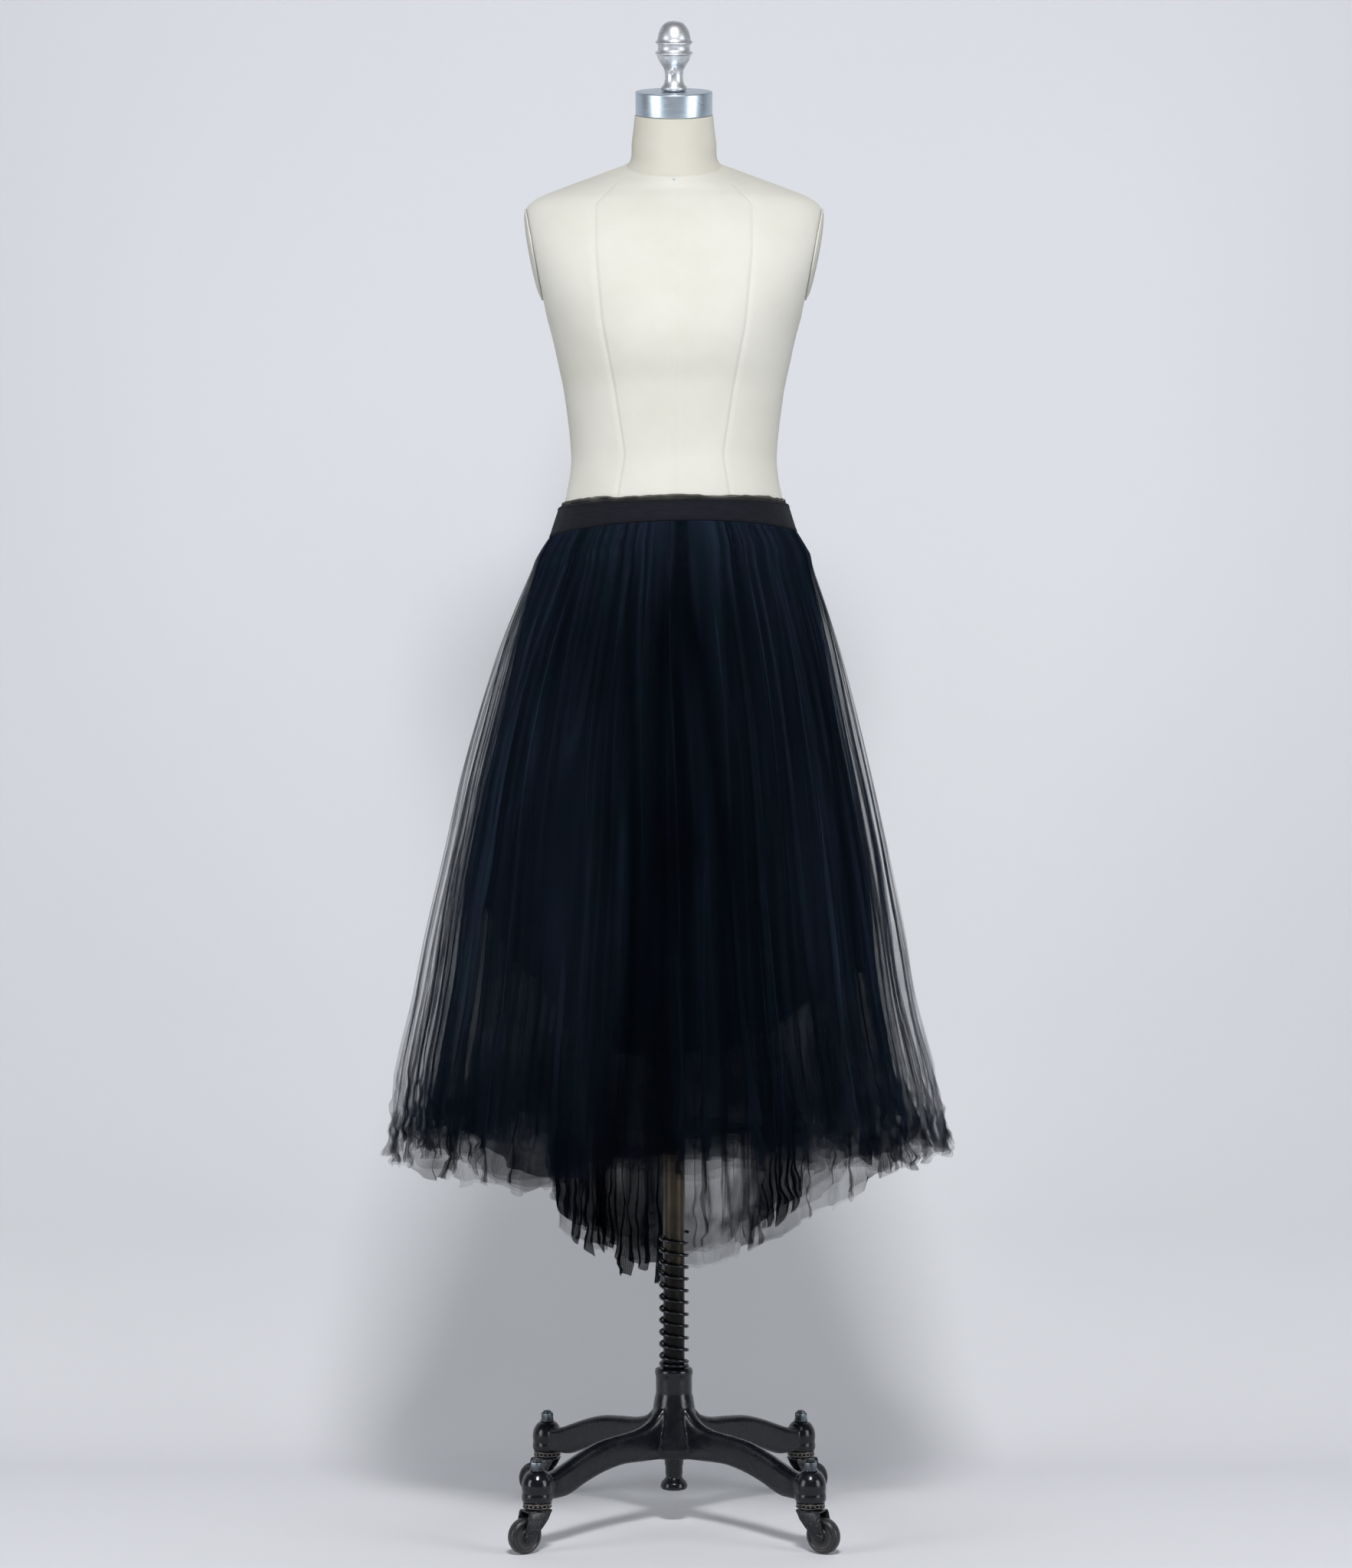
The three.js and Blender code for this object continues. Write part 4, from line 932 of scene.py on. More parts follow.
class Layer:
    """One gathered tube of cloth, hung from the waist seam over the form."""

    def __init__(
            self, rows, seam, waves, drift, hem, seed,
            inset=0.0, ragged=9.0, crumple=6.0, main=0.55, tucks=70):
        self.rows = table(LAYER_COLUMNS, rows)
        self.seam, self.waves, self.drift, self.hem = seam, waves, drift, hem
        self.seed, self.inset, self.ragged, self.crumple, self.main = seed, inset, ragged, crumple, main
        dice = random.Random(seed)
        self.tucks = [Tuck(dice) for _ in range(tucks)]

    def noise(self, ring, z, kind, shift_along=0.0):
        """One of the layer's noises, at shares of the ring and at heights."""
        cells, tall, seed, own = LAYER_NOISES[kind]
        return ring_noise(ring, z / tall, cells, seed + own * self.seed, shift_along)

    def fold_depth(self, t, z, drop):
        """How far the folds stand out, and how near each point is to the top of a fold, from 0 to 1, which
        the net's colour turns into painted highlight and shade.

        Every layer shares its pleats with the others, because they were gathered together. They
        are close and sharp at the band, and widen, wander and fade as they fall."""
        fold = along(self.rows, "fold", z)
        ring = t / TURN
        bend = self.noise(ring, z, "bend")
        sway = ring + SWAY * bend * smooth(drop / FULL_SWAY_DROP)
        broad = self.noise(sway, z, "broad")
        pleat = 1.7 * np.abs(self.noise(sway, z, "pleat")) ** 0.8 - 0.6
        gather = 1.7 * np.abs(self.noise(sway, z, "gather", 0.4 * bend)) ** 0.8 - 0.75
        fine = self.noise(sway, z, "fine")
        main = fold * self.main * (0.6 * np.cos(self.waves * t + 1.6 * bend) + 0.5 * broad)
        near_waist = np.exp(-((drop - 30) / 85) ** 2)
        deep = 0.62 * fold * smooth(drop / 110) + 0.7 * near_waist
        close = 0.28 * fold * smooth(drop / 90) + 1.0 * near_waist
        push = main * smooth(drop / FULL_SWAY_DROP) + deep * pleat + close * gather
        push = push + (0.35 + 0.4 * near_waist) * fine
        soft = 1 - 0.45 * near_waist
        # Painted light: how light the net's colour is painted, lighter towards the tops of the folds and
        # darker in their valleys.
        ridge = 0.44 + 0.27 * pleat * soft + 0.2 * gather + 0.12 * broad * (1 - near_waist) + 0.12 * fine
        return smooth(drop / 16) * push, np.clip(ridge, 0, 1)

    def hem_line(self, t, angle):
        """Height of the cut edge, with its steps and notches."""
        reach = np.where(np.cos(angle) > 0, along(self.rows, "right", 450.0), along(self.rows, "left", 450.0))
        even = hem_height(self.hem, angle, reach * np.cos(angle))
        at_side = np.abs(np.cos(t)) ** 3
        return even + self.ragged * (0.8 + 1.1 * at_side) * (
            0.5 * stepped(t / TURN * 47, self.seed + 3, 0.4) + 0.35 * around_noise(t, 29, self.seed + 4)
            + 0.25 * around_noise(t, 97, self.seed + 2))

    def points(self, t, fall, lift=0.0, proud=0.0, crumple=1.0):
        """Places, painted fold light and tucks of the cloth, for ring parameters t and fractions of the fall.
        """
        cloth, push, tucked = t, proud, 0.0
        for tuck in self.tucks:
            aside, out, shown = tuck.move(cloth, fall)
            t, push, tucked = t + aside, push + out, np.maximum(tucked, shown)
        wander = np.sin(t) * (
            0.03 * np.sin(7 * t + 1.1) + 0.02 * np.sin(11 * t + 0.4)
            + self.drift * fall * np.sin(2 * t + 0.5))
        angle = t + wander
        _, top = band_edges(angle)
        top = top - GAP
        hem = self.hem_line(cloth, angle)
        z = top + (hem - top) * fall + lift
        drop = top - z
        own = smooth(drop / SEAM_BLEND)
        inset = self.inset * smooth(drop / 260) * (1 + 0.7 * smooth((800 - z) / 150))
        reach = [along(self.rows, side, z) - inset for side in REACHES]
        fx, fy = form_ring(angle, z, self.seam)
        power = 2 + 0.2 * smooth((z - 700) / 300)
        sx, sy = ring_point(*reach, power, angle)
        x, y = fx + (sx - fx) * own, fy + (sy - fy) * own
        out = np.hypot(x, y)
        depth, ridge = self.fold_depth(t, z, drop)
        push = push + depth
        near_hem = smooth(1 - (z - hem) / CRUMPLED_HEIGHT) * self.crumple * crumple
        ring = cloth / TURN
        push = push + near_hem * (self.noise(ring, z, "rough") + 0.5 * self.noise(ring, z, "rougher"))
        swing = near_hem * 0.9 * self.noise(ring, z, "swing")
        z = z + near_hem * 0.6 * self.noise(ring, z, "heave")
        x, y = x - swing * y / out, y + swing * x / out
        return x * (1 + push / out), y * (1 + push / out), z, ridge, tucked


OUTER_HEM = dict(front=450, side=444, tilt=0.01, back=266, spread=42, edge=25, low_left=28)
MIDDLE_HEM = dict(front=460, side=459, tilt=0.018, back=296, spread=40, edge=29, low_left=32)
UNDER_HEM = dict(front=458, side=456, tilt=0.01, back=284, spread=41, edge=26, low_left=24)
CORE_HEM = dict(front=468, side=480, tilt=0.02, back=432, spread=34, edge=60, low_left=34)
LINING_HEM = dict(front=690, side=690, tilt=-0.15, back=535, spread=45, edge=60)
INNER_HEM = dict(front=484, side=480, tilt=0.02, back=290, spread=40, left_spread=50, edge=34.5)
LAYERS = dict(
    outer_net=Layer(OUTER_ROWS, 5.8, 24, 0.05, OUTER_HEM, 11, inset=-3),
    under_net=Layer(OUTER_ROWS, 5.2, 24, 0.02, UNDER_HEM, 23, inset=7, main=0.4),
    middle_net=Layer(MIDDLE_ROWS, 4.2, 20, -0.04, MIDDLE_HEM, 37, inset=2, tucks=50),
    core_net=Layer(MIDDLE_ROWS, 3.4, 20, 0.03, CORE_HEM, 41, inset=10, main=0.4, tucks=40),
    lining_panel=Layer(
        LINING_ROWS, 2.7, 10, 0.0, LINING_HEM, 53, ragged=16.0, crumple=1.5, main=0.9, tucks=20),
    inner_net=Layer(INNER_ROWS, 1.0, 16, 0.05, INNER_HEM, 67, crumple=7.0, tucks=40),
)
# Each layer's share of thread, and its grid
COVER = dict(outer_net=0.22, under_net=0.26, middle_net=0.34, core_net=0.72, inner_net=0.2)
GRID = dict(
    outer_net=(66, 500), under_net=(56, 400), middle_net=(52, 330), core_net=(44, 280), inner_net=(54, 330),
    lining_panel=(42, 240),
)
# The largest share of thread that a net comes to
MOST_SHARE = 0.97
# Where each panel starts round the ring, and how far it stays off its side seams
PANELS = dict(back=0.0, front=math.pi)
SEAM_PULL = GAP / 2 / 300


def fall_steps(rows):
    """Fractions of the fall, closer together towards the hem."""
    even = np.linspace(0, 1, rows)
    return even + 0.32 * even * (1 - even) * (0.35 + even)


def panel_span(side, columns):
    return np.linspace(PANELS[side] + SEAM_PULL, PANELS[side] + math.pi - SEAM_PULL, columns)


def panel_grid(side, rows, columns):
    return np.broadcast_arrays(panel_span(side, columns)[None, :], fall_steps(rows)[:, None])


def cloth_sheet(name, side, places, finish, slot, nodes, flip=True, **values):
    """A sheet of cloth, with attributes of a value for each point that its finish reads."""
    piece = sheet_piece(f"{name}_{side}", *places, flip)
    for key, value in values.items():
        layer = piece.data.attributes.new(key, "FLOAT", "POINT")
        layer.data.foreach_set("value", np.ascontiguousarray(value, dtype=np.float32).ravel())
    settle(piece, MAST, finish, slot, *nodes)


def net_panel(name, side, finish, *nodes):
    """One front or back panel of sheer net, as a single sheet, denser where it is gathered."""
    layer = LAYERS[name]
    t, fall = panel_grid(side, *GRID[name])
    x, y, z, ridge, tucked = layer.points(t, fall)
    gathered = 1 + 1.1 * np.exp(-fall / 0.12)
    streaks = 1 + 0.25 * ring_noise(t / TURN, fall * 2.5, 160, layer.seed + 12)
    crease = 1 - smooth(np.abs(ring_noise(t / TURN, fall * 1.6, 90, layer.seed + 14)) / 0.13)
    share = COVER[name] * gathered * streaks * (1 + 0.9 * tucked + 0.7 * crease)
    if name in OPENINGS:
        patchy = 0.75 + 0.25 * value_noise(t * 40, fall * 2, 15)
        share = share * (1 - openings(x, z, OPENINGS[name]) * patchy)
    if side == "back":
        share = share + folded_lines(x, z, FOLDED.get(name, ()))
    share = np.clip(share, 0, MOST_SHARE)
    # Painted light: the net's colour is painted brighter near the band and at the sides, darker in the
    # middle.
    ridge = ridge * painted_lightness(t, fall)
    cloth_sheet(name, side, (x, y, z), finish, "tulle", nodes, thread_share=share, ridge=ridge)


def painted_lightness(t, fall):
    """Painted light for the net's colour: bright where the net is gathered at the band and where it stands
    edge-on, dark in the middle.
    """
    return 0.4 + 0.85 * np.exp(-fall / 0.2) + 1.7 * np.abs(np.cos(t)) ** 1.5 * smooth(fall / 0.3)


# Places where the net under the lining's hem is thin: middle and half size, across and up, and how thin
OPENINGS = dict(
    core_net=(
        (-240, 600, 15, 150, 0.5), (150, 545, 15, 80, 0.5), (30, 505, 22, 40, 0.5), (75, 468, 55, 12, 0.7)),
    middle_net=((-242, 610, 16, 140, 0.3), (150, 545, 15, 80, 0.3), (75, 350, 70, 95, 0.9)),
    under_net=((75, 350, 70, 95, 0.8),),
    outer_net=((75, 350, 70, 85, 0.35),),
    inner_net=((80, 350, 55, 75, 0.4),),
)


def openings(x, z, places):
    """How open the net is, from 0 to 1."""
    opened = 0 * x
    for across, up, half_width, half_height, thin in places:
        inside = smooth(1.6 - np.abs(x - across) / half_width) * smooth(1.4 - np.abs(z - up) / half_height)
        opened = np.maximum(opened, thin * inside)
    return opened


# Lines where the back of a sheet lies double: from and to, as distance across and height, and half width
FOLDED = dict(inner_net=(
    ((18, 332), (62, 330), 5.5), ((62, 330), (118, 362), 6), ((34, 450), (46, 338), 2.4),
    ((60, 455), (74, 300), 2.8), ((84, 450), (92, 292), 3.2), ((100, 440), (108, 330), 2.6),
    ((-30, 420), (-24, 300), 2.4),
))


def folded_lines(x, z, lines):
    """Extra thread along the lines where a sheet lies double."""
    extra = 0 * x
    for (x0, z0), (x1, z1), half_width in lines:
        run_x, run_z = x1 - x0, z1 - z0
        along_line = np.clip(((x - x0) * run_x + (z - z0) * run_z) / (run_x ** 2 + run_z ** 2), 0, 1)
        away = np.hypot(x - x0 - run_x * along_line, z - z0 - run_z * along_line)
        extra = np.maximum(extra, 0.6 * np.exp(-((away / half_width) ** 2)))
    return extra


def lining_panel(side):
    t, fall = panel_grid(side, *GRID["lining_panel"])
    *places, ridge, _ = LAYERS["lining_panel"].points(t, fall)
    cloth_sheet("lining_panel", side, places, LINING_CLOTH, "lining_cloth", [f"lining_{side}"], ridge=ridge)


def full_at_sides(t):
    """The outer hem is crumpled at its sides and nearly smooth in front, with a full group on each side."""
    side = np.abs(np.cos(t))
    return 0.22 + 0.08 * side ** 3 + 0.7 * bump_at(side, 0.78, 0.09) + 0.34 * around_noise(t, 21, 31)


def full_at_back(t):
    """The inner hem's pleats crowd together left of the pole, and in a narrow group on its right."""
    left_group = smooth((t - 1.56) / 0.1) * smooth((2.3 - t) / 0.06)
    return (
        0.2 + 1.25 * left_group + 1.3 * bump_at(t, 0.93, 0.17) + 0.45 * bump_at(t, 2.8, 0.22)
        + 0.5 * (t > math.pi) * np.abs(np.sin(t)) + 0.2 * around_noise(t, 27, 33)
    )


# A hem trim is a strip of net in uneven pleats, which lie over each other where they crowd.
OUTER_TRIM = dict(
    pleats=58, above=50, climb=0, below=3, proud=1.5, depth=5.5, ragged=9, crumple=1.1, cover=(0.1, 0.36),
    full=full_at_sides)
MIDDLE_TRIM = dict(
    pleats=64, above=76, climb=0, below=4, proud=1.0, depth=4.5, ragged=9, crumple=1.1, cover=(0.1, 0.44),
    full=full_at_sides)
INNER_TRIM = dict(
    pleats=82, above=70, climb=0.9, below=20, proud=1.5, depth=4.5, ragged=12, crumple=0.8,
    cover=(-0.1, 0.96), full=full_at_back)
TRIM_GRID = (20, 620)


def pleated_trim(name, on_layer, side, trim, *nodes):
    layer = LAYERS[on_layer]
    t, fall = panel_grid(side, *TRIM_GRID)
    fall = (fall - fall[:1]) / (fall[-1:] - fall[:1])
    full = np.clip(trim["full"](t), 0.1, 1.4)
    near_seam = smooth((t - PANELS[side]) / 0.05) * smooth((PANELS[side] + math.pi - t) / 0.05)
    count = trim["pleats"]
    phase = 2 * count * t + 2.6 * around_noise(t, 31, layer.seed + 21)
    phase = phase + 1.4 * fall * around_noise(t, 43, layer.seed + 22)
    opened = 0.35 + 0.65 * fall
    aside = full * 2.0 * opened / (2 * count) * np.sin(phase) * near_seam
    push = trim["proud"] + trim["depth"] * full * opened * (0.5 + 0.5 * np.cos(phase)) * near_seam
    level = stepped(phase / math.pi / 2 + 0.25, layer.seed + 23, 0.2) * full
    level = level + 0.4 * around_noise(t, 150, layer.seed + 24)
    above = trim["above"] * (1 + trim["climb"] * full)
    lift = above * (1 - fall) - (trim["below"] + trim["ragged"] * level) * fall
    *places, ridge, _ = layer.points(t + aside, np.ones_like(t), lift, push, trim["crumple"])
    thin, dense = trim["cover"]
    patchy = 1 + 0.3 * value_noise(t * 60, fall * 3, layer.seed + 25)
    patchy = patchy + 0.45 * value_noise(t * 17, fall * 4, 26)
    share = np.clip((thin + dense * full) * smooth(fall / 0.3) * patchy, 0.03, MOST_SHARE)
    cloth_sheet(name, side, places, NET_TRIM, "tulle", nodes, thread_share=share, ridge=ridge)


# The band's section: share of its height from the top, and how far it stands off the form
BAND_SECTION = (
    (0, 0.8), (0, 3.2), (0.012, 4.9), (0.05, 5.6), (0.16, 5.25), (0.5, 5.45), (0.84, 5.25), (0.95, 5.6),
    (0.988, 4.9), (1, 3.2), (1, 0.8), (0.5, 0.8),
)
BAND_COLUMNS = 150
# The band's UV map: its mean radius, and the cloth's length between two points of its section
BAND_RADIUS = 145
SECTION_STEP = 7.0
EDGE_ROWS = 5
EDGE_TUCKED_IN = 3


def waistband():
    """The folded band: flat in front, with soft edges and a light ripple where it is sewn."""
    for side in PANELS:
        t = panel_span(side, BAND_COLUMNS)
        top, bottom = band_edges(t)
        ripple = 0.35 * around_noise(t, 60, 5) + 0.25 * around_noise(t, 140, 6)
        rows = []
        for share, ease in BAND_SECTION:
            z = top + (bottom - top) * share
            x, y = form_ring(t, z, ease + (ripple * 0.5 if ease > 2 else 0))
            rows.append(np.stack([x, y, z], -1))
        count, columns = len(BAND_SECTION), BAND_COLUMNS
        last = (count - 1) * columns
        faces = grid_faces(count, columns) + [(last + j, last + j + 1, j + 1, j) for j in range(columns - 1)]
        faces.append(tuple(k * columns for k in range(count)))
        faces.append(tuple(k * columns + columns - 1 for k in range(count))[::-1])
        down = SECTION_STEP * np.arange(count)
        uv = np.stack(np.broadcast_arrays((t * BAND_RADIUS)[None, :], down[:, None]), -1).reshape(-1, 2)
        piece = mesh_piece(f"waistband_band_{side}", np.array(rows).reshape(-1, 3), faces, uv)
        settle(tidy_mesh(piece, 1e-7), MAST, BAND_CLOTH, "waistband_cloth", f"waistband_{side}")
        edge_net(side, t, top)
        band_stitches(side, t, top, bottom)


def edge_net(side, t, top):
    """A narrow edge of net that stands up above the band."""
    share = np.linspace(0, 1, EDGE_ROWS)[:, None]
    tall = 5.2 + 1.4 * around_noise(t, 40, 8)[None, :] + 0.6 * around_noise(t, 150, 7)[None, :]
    z = top[None, :] + GAP - EDGE_TUCKED_IN + (tall + EDGE_TUCKED_IN) * share
    ease = 2.4 + 0.7 * around_noise(t, 90, 12)[None, :] * share
    x, y = form_ring(t[None, :] + 0 * z, z, ease)
    # Painted shade: the edge net's colour is painted evenly dim, as in a fold's valley.
    cloth_sheet(
        "waist_edge_net", side, (x, y, z), NET_TRIM, "tulle", [f"waist_edge_{side}"], flip=False,
        thread_share=0.85 + 0 * z, ridge=0.2 + 0 * z)


# ---------------------------------------------------------------- geometry nodes
# The nodes that every tree has, and the links of its last ones
TREE_ENDS = dict(
    given=("NodeGroupInput", {}, {}),
    real=("GeometryNodeRealizeInstances", {}, {}),
    shade=("GeometryNodeSetShadeSmooth", {}, {}),
    paint=("GeometryNodeSetMaterial", {}, {}),
    result=("NodeGroupOutput", {}, {}),
)
END_LINKS = (("real", 0, "shade", 0), ("shade", 0, "paint", "Geometry"), ("paint", 0, "result", 0))


def node_tree(name, finish, sizes, nodes, links):
    """A Geometry Nodes tree with named number inputs for its sizes.

    Each node is its kind, settings and inputs. Each link is a node, its output, a node and its input."""
    tree = bpy.data.node_groups.new(name, "GeometryNodeTree")
    tree.interface.new_socket("Geometry", in_out="INPUT", socket_type="NodeSocketGeometry")
    for label in sizes:
        tree.interface.new_socket(label, in_out="INPUT", socket_type="NodeSocketFloat")
    tree.interface.new_socket("Geometry", in_out="OUTPUT", socket_type="NodeSocketGeometry")
    made = {}
    for key, (kind, settings, inputs) in {**TREE_ENDS, **nodes}.items():
        made[key] = tree.nodes.new(kind)
        for setting, value in settings.items():
            setattr(made[key], setting, value)
        for socket, value in inputs.items():
            made[key].inputs[socket].default_value = value
    made["paint"].inputs["Material"].default_value = finish
    for source, output, target, socket in (*links, *END_LINKS):
        tree.links.new(made[source].outputs[output], made[target].inputs[socket])
    return tree


def wire_tree(finish):
    """A round wire along a path."""
    nodes = dict(
        resample=("GeometryNodeResampleCurve", {"mode": "LENGTH"}, {}),
        circle=("GeometryNodeCurvePrimitiveCircle", {}, {}),
        sweep=("GeometryNodeCurveToMesh", {}, {"Fill Caps": True}),
    )
    links = (
        ("given", "Geometry", "resample", "Curve"), ("given", "Step", "resample", "Length"),
        ("given", "Sides", "circle", "Resolution"), ("given", "Wire Radius", "circle", "Radius"),
        ("resample", 0, "sweep", "Curve"), ("circle", 0, "sweep", "Profile Curve"), ("sweep", 0, "real", 0),
    )
    return node_tree("wire", finish, ("Wire Radius", "Sides", "Step"), nodes, links)


def stitch_tree(finish):
    """Stitches along a path: short rounded threads, evenly spaced."""
    nodes = dict(
        spots=("GeometryNodeCurveToPoints", {"mode": "LENGTH"}, {}),
        thread=("GeometryNodeMeshUVSphere", {}, {"Segments": 6, "Rings": 5, "Radius": 1.0}),
        half=("ShaderNodeMath", {"operation": "MULTIPLY"}, {1: 0.5}),
        size=("ShaderNodeCombineXYZ", {}, {}),
        place=("GeometryNodeInstanceOnPoints", {}, {}),
    )
    links = (
        ("given", "Geometry", "spots", "Curve"), ("given", "Pitch", "spots", "Length"),
        ("given", "Stitch Length", "half", 0), ("half", 0, "size", 2),
        ("given", "Thread Radius", "size", 0), ("given", "Thread Radius", "size", 1),
        ("spots", "Points", "place", "Points"), ("spots", "Rotation", "place", "Rotation"),
        ("thread", "Mesh", "place", "Instance"), ("size", 0, "place", "Scale"), ("place", 0, "real", 0),
    )
    return node_tree("stitches", finish, ("Pitch", "Thread Radius", "Stitch Length"), nodes, links)


def ball_tree(finish):
    """Balls in a ring, evenly spaced, about the Z axis."""
    nodes = dict(
        ring=("GeometryNodeMeshCircle", {}, {}),
        ball=("GeometryNodeMeshUVSphere", {}, {"Segments": 12, "Rings": 8}),
        place=("GeometryNodeInstanceOnPoints", {}, {}),
    )
    links = (
        ("given", "Balls", "ring", "Vertices"), ("given", "Ring Radius", "ring", "Radius"),
        ("given", "Ball Radius", "ball", "Radius"), ("ring", 0, "place", "Points"),
        ("ball", "Mesh", "place", "Instance"), ("place", 0, "real", 0),
    )
    return node_tree("balls", finish, ("Balls", "Ring Radius", "Ball Radius"), nodes, links)


def run_tree(piece, tree, values, name):
    """Applies a tree with its inputs' values, and gives the plain mesh."""
    modifier = piece.modifiers.new(name, "NODES")
    modifier.node_group = tree
    for item in tree.interface.items_tree:
        if item.in_out == "INPUT" and item.name in values:
            modifier[item.identifier] = float(values[item.name])
    made = plain_mesh(piece)
    made.name = name
    return made


def path_object(name, paths):
    """Curves through points in millimetres."""
    data = bpy.data.curves.new(name, "CURVE")
    data.dimensions = "3D"
    for path in paths:
        spline = data.splines.new("POLY")
        spline.points.add(len(path) - 1)
        for point, place in zip(spline.points, path):
            point.co = (*(Vector(place) * MM), 1)
    return new_object(name, data)


WIRE = wire_tree(SPRING_BLACK)
STITCHES = stitch_tree(THREAD)
RACE_BALLS = ball_tree(RACE_STEEL)


def stitch_run(name, paths, sizes, finish, slot):
    """Stitches of a pitch, thread radius and length in metres, along paths."""
    values = dict(zip(("Pitch", "Thread Radius", "Stitch Length"), sizes))
    settle(run_tree(path_object(f"{name}_path", paths), STITCHES, values, name), MAST, finish, slot)


def band_stitches(side, t, top, bottom):
    paths = []
    for share in (0.075, 0.925):
        z = top + (bottom - top) * share
        x, y = form_ring(t, z, BAND["ease"] + BAND["thick"] - 0.72)
        paths.append(list(zip(x, y, z)))
    stitch_run(f"band_stitches_{side}", paths, (0.0034, 0.00028, 0.0025), THREAD, "waistband_cloth")


def neck_stitches():
    """Hand stitches that close the canvas along its neck seam."""
    t = np.linspace(0, TURN, 240)
    z = np.full_like(t, NECK_SEAM_Z + 2.6)
    x, y = form_ring(t, z, 0.05)
    path = list(zip(x, y, z + along(FORM, "slope", z) * y))
    stitch_run("neck_stitches", [path], (0.0042, 0.0002, 0.0024), CANVAS, "form_canvas")


# ---------------------------------------------------------------- stand
# Points in each turn of the spring's path, and the path's extra rise off the hub
SPRING_STEPS = 32
SPRING_LIFT = 0.2


def pole_and_spring():
    radius, bottom, top = POLE["radius"], POLE["bottom"], POLE["top"]
    tube = lathed("pole_tube", [(0, bottom), (radius, bottom), (radius, top), (0, top)], 1, 64)
    settle(crisp(tube, 40), MAST, POLE_STEEL, "pole_steel", "pole")
    wire, coil = SPRING["wire"], SPRING["coil"]
    path = []
    for k in range(int(SPRING["turns"] * SPRING_STEPS) + 1):
        turns = k / SPRING_STEPS
        z = HUB["top"] + GAP + wire + SPRING_LIFT + (2 * wire + GAP) * min(turns, 1)
        z += SPRING["pitch"] * max(turns - 1, 0)
        path.append((coil * math.cos(turns * TURN), -coil * math.sin(turns * TURN), z))
    sizes = {"Wire Radius": wire * MM, "Sides": 14, "Step": 0.0031}
    coil_spring = run_tree(path_object("spring_path", [path]), WIRE, sizes, "coil_spring")
    settle(coil_spring, BASE, SPRING_BLACK, "spring_steel", "pole_spring")


# A leg's stations: distance from the middle, height of its top and underside, half width
LEG_COLUMNS = ("z", "top", "under", "half")
LEG_STATIONS = (
    (14, 150, 82, 8.5), (26, 138, 80, 9), (40, 125, 80.5, 9), (62, 118, 81.5, 8.5), (90, 115.5, 82, 8),
    (122, 112, 77, 8), (150, 104.5, 69, 8.2), (176, 95, 59.5, 9), (196, 88, 58.3, 10.5),
    (LEG_REACH, 84, 58.5, 11),
)
LEG_SIDES = 28
LEG_SQUARENESS = 5.0
RIB_HALF_WIDTH = 3.2


def leg_solid(name):
    """One leg along +X: a squarish section, with a shallow rib along its top."""
    rows = table(LEG_COLUMNS, LEG_STATIONS)
    reach = np.arange(LEG_STATIONS[0][0], LEG_REACH + 1, 3.0)
    around = np.arange(LEG_SIDES) / LEG_SIDES * TURN
    points = []
    for r in reach:
        top, under, half = (float(along(rows, key, r)) for key in ("top", "under", "half"))
        y, z = ring_point(half, half, (top - under) / 2, (top - under) / 2, LEG_SQUARENESS, around)
        rib = np.exp(-(y / RIB_HALF_WIDTH) ** 2) * (z > 0)
        points += list(zip(np.full(LEG_SIDES, r), y, z + (top + under) / 2 + rib))
    faces = grid_faces(len(reach), LEG_SIDES, wrap=True)
    last = (len(reach) - 1) * LEG_SIDES
    faces += [tuple(range(LEG_SIDES)), tuple(range(last, last + LEG_SIDES))[::-1]]
    return tidy_mesh(mesh_piece(name, points, faces))


def caster_place(corner):
    angle = math.radians(DIAGONAL[corner])
    return LEG_REACH * math.cos(angle), LEG_REACH * math.sin(angle)


HUB_FLOOR = HUB["top"] - HUB["bore_depth"]
HUB_PROFILE = (
    (0, 80), (30, 80), (33.5, 89), (31.5, 106), (26.3, 128), (23.3, 148), (22.9, 151), (21.6, 153.5),
    (21.5, 176), (22.6, 178), (22.6, 183.2), (21, HUB["top"]), (HUB["bore"], HUB["top"]),
    (HUB["bore"], HUB_FLOOR), (0, HUB_FLOOR),
)
BOSS_PROFILE = (
    (0, BOSS["bottom"]), (17, BOSS["bottom"]), (18, 59.5), (18, 66), (17.2, 67.4), (17.2, 70), (18, 71.4),
    (18, 78), (16.6, 84), (12.4, 90.6), (8.8, 92.8), (0, BOSS["top"]),
)
FOOT_PROFILE = (
    (0, 79.1), (11.3, 79.1), (11, 70), (10.2, 68), (10.2, 60), (9.4, 55), (12.4, 51.6), (15, 49), (16.3, 44),
    (14.6, 41), (0, 41),
)


def casting():
    """Hub, four legs and four bosses in one casting with soft fillets, and the foot under the hub."""
    solids = [lathed("hub", HUB_PROFILE, 1.2, 72)]
    for corner in CORNERS:
        leg = transform(leg_solid(f"leg_{corner}"), turn(DIAGONAL[corner], "Z"))
        boss = transform(lathed(f"boss_{corner}", BOSS_PROFILE, 1.0, 48), shift(*caster_place(corner), 0))
        solids += [leg, boss]
    iron = joined("stand_casting", solids)
    fuse = iron.modifiers.new("fuse", "REMESH")
    fuse.mode = "VOXEL"
    fuse.voxel_size = 1.7 * MM
    soften = iron.modifiers.new("fillets", "SMOOTH")
    soften.factor = 0.5
    soften.iterations = 5
    iron = plain_mesh(iron)
    iron.data.shade_smooth()
    settle(iron, BASE, ENAMEL, "black_iron", "base_casting")
    settle(lathed("hub_foot_turning", FOOT_PROFILE, 1.2, 56), BASE, ENAMEL, "black_iron", "hub_foot")


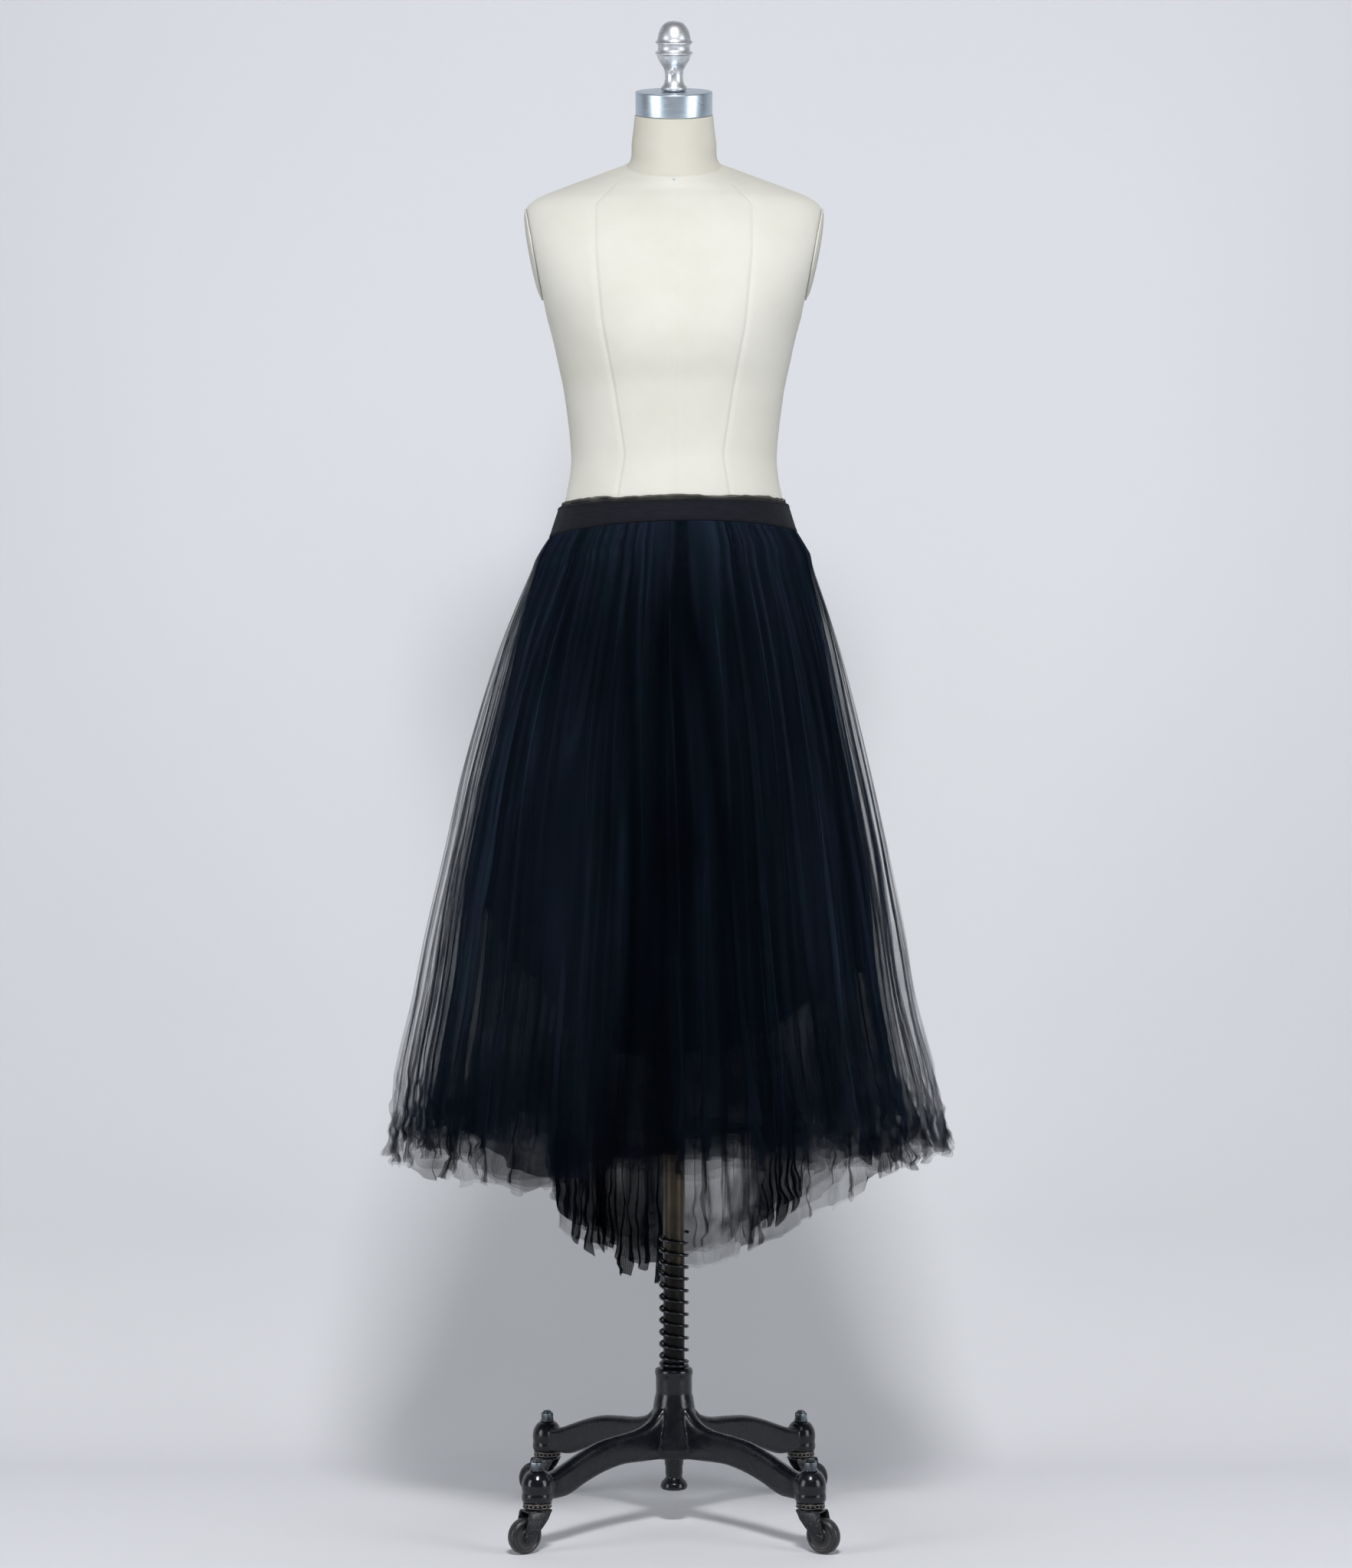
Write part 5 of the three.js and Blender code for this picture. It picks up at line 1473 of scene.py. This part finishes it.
CROWN_TOP = BOSS["bottom"] - GAP - RACE["tall"] - GAP
CROWN_BOTTOM = CROWN_TOP - FORK["plate"]
STEM_HOLE = 5.4
EYE_RADIUS = 6.3


def place_caster(piece, corner):
    return transform(piece, turn(HEADING[corner], "Z"), shift(*caster_place(corner), 0))


def fork(corner):
    """A bent plate fork: round crown, two tapering cheeks and an axle with riveted ends."""
    trail, cheek_thick, axle_z = FORK["trail"], FORK["cheek"], WHEEL["radius"]
    width = FORK["gap"] + 2 * cheek_thick
    low, high = CROWN_BOTTOM, CROWN_TOP
    crown = lathed("crown", [
        (STEM_HOLE, low), (13.6, low), (14.2, high - 1), (13, high), (STEM_HOLE, high)], 0.5, 48, closed=True)
    saddle_outline = [(-13, low - 0.2), (16, low - 0.2), (16, high - 0.9), (-13, high - 0.9)]
    saddle = extruded("saddle", saddle_outline, width)
    eye = [
        (trail + EYE_RADIUS * math.cos(a), axle_z + EYE_RADIUS * math.sin(a))
        for a in np.linspace(-2.5, 0.35, 12)]
    outline = [(-13, low + 1), (-8, 38), (-1, 30), (7, 22), *eye, (20.5, 33), (17, low + 1)]
    pieces = [crown, saddle]
    for side in (-1, 1):
        plate = extruded("cheek", outline, cheek_thick)
        pieces.append(transform(plate, shift(0, side * (width - cheek_thick) / 2, 0)))
    reach = width / 2
    axle = lathed("axle", [
        (0, -reach - 1.7), (3.4, -reach - 1.7), (4.3, -reach - 0.2), (4.3, -reach + 0.2), (3, -reach + 0.4),
        (3, reach - 0.4), (4.3, reach - 0.2), (4.3, reach + 0.2), (3.4, reach + 1.7), (0, reach + 1.7),
    ], 0.5, 28)
    pieces.append(transform(axle, turn(90, "X"), shift(trail, 0, axle_z)))
    made = bevelled(joined(f"fork_plates_{corner}", pieces), 0.45)
    settle(place_caster(made, corner), f"swivel_{corner}", ENAMEL, "black_iron", f"caster_fork_{corner}")


def wheel(corner):
    """A hard rubber wheel: crowned tread, moulded side ring and a hub that stands out."""
    r, half = WHEEL["radius"], WHEEL["width"] / 2
    side = [
        (3.4, half), (7.2, half), (7.6, half - 1.4), (9.2, half - 2.4), (14.6, half - 2.4),
        (15.6, half - 1.2), (17.4, half - 1), (19, 5.6), (20.2, 4), (r, 1.4),
    ]
    profile = side + [(radius, -z) for radius, z in reversed(side)]
    tyre = lathed(f"wheel_{corner}", profile, 0.5, 72, 2, closed=True)
    transform(tyre, turn(90, "X"), shift(FORK["trail"], 0, r))
    place_caster(crisp(tyre, 50), corner)
    settle(tyre, f"wheel_{corner}", RUBBER, "wheel_rubber", f"caster_wheel_{corner}")


def race(corner):
    """Two pressed rings with the balls' groove between them."""
    top, r = BOSS["bottom"] - GAP, RACE["radius"]
    low = top - RACE["tall"]
    profile = [
        (STEM_HOLE, low), (14, low), (r - 0.6, top - 6.2), (r, top - 5.2), (r, top - 4.6),
        (r - 3.2, top - 4.2), (r - 3.8, top - 3.4), (r - 3.2, top - 2.6), (r - 0.4, top - 2.2),
        (r - 0.2, top - 0.6), (r - 1, top), (STEM_HOLE, top),
    ]
    rings = crisp(lathed(f"race_{corner}", profile, 0.4, 56, 2, closed=True), 45)
    settle(place_caster(rings, corner), BASE, RACE_STEEL, "race_steel", f"caster_race_{corner}")


def race_balls(corner):
    seed = mesh_piece(f"race_ball_seed_{corner}", [(0, 0, 0)], [])
    sizes = {"Balls": 18, "Ring Radius": 0.0147, "Ball Radius": 0.0018}
    balls = run_tree(seed, RACE_BALLS, sizes, f"race_balls_{corner}")
    transform(balls, shift(0, 0, BOSS["bottom"] - GAP - 3.4))
    settle(place_caster(balls, corner), BASE, RACE_STEEL, "race_steel")


def stem(corner):
    """The stem with its hexagon nut, washer and rounded thread end on top of the boss."""
    base, low = BOSS["top"] + GAP, CROWN_BOTTOM - GAP
    nut = turned("nut", [
        (0, base + 1.2), (8.2, base + 1.2), (8.2, base + 9.6), (7, base + 10.4), (0, base + 10.4)], 6)
    nut.data.shade_flat()
    washer = lathed("washer", [(0, base), (8.6, base), (8.6, base + 1.3), (0, base + 1.3)], 0.4, 40)
    end = lathed("thread_end", [
        (0, base + 9), (4.9, base + 9), (4.9, base + 12), (3.6, base + 13), (0, base + 13)], 0.6, 32)
    shank = turned("shank", [
        (0, low - 1.5), (6.6, low - 1.5), (7.2, low - 0.9), (7.2, low), (5, low), (5, base + 1),
        (0, base + 1),
    ], 32)
    made = bevelled(joined(f"stem_{corner}", [nut, washer, end, shank]), 0.35)
    settle(place_caster(made, corner), BASE, NUT_STEEL, "black_iron", f"caster_stem_{corner}")


# ---------------------------------------------------------------- the whole
camera()
studio()
torso()
arm_plates()
neck_fittings()
form_base()
neck_stitches()
pole_and_spring()
casting()
for caster_corner in CORNERS:
    for make in (fork, wheel, race, race_balls, stem):
        make(caster_corner)
waistband()
for panel_side in PANELS:
    net_panel("outer_net", panel_side, NET_OUTER, f"outer_tulle_{panel_side}")
    net_panel("under_net", panel_side, NET_OUTER)
    net_panel("middle_net", panel_side, NET_MIDDLE, f"middle_tulle_{panel_side}")
    net_panel("core_net", panel_side, NET_MIDDLE)
    lining_panel(panel_side)
    net_panel("inner_net", panel_side, NET_MIDDLE, f"inner_tulle_{panel_side}")
    pleated_trim("outer_trim", "outer_net", panel_side, OUTER_TRIM, f"outer_ruffle_{panel_side}")
    pleated_trim("middle_trim", "middle_net", panel_side, MIDDLE_TRIM)
    pleated_trim("inner_trim", "inner_net", panel_side, INNER_TRIM, f"inner_ruffle_{panel_side}")
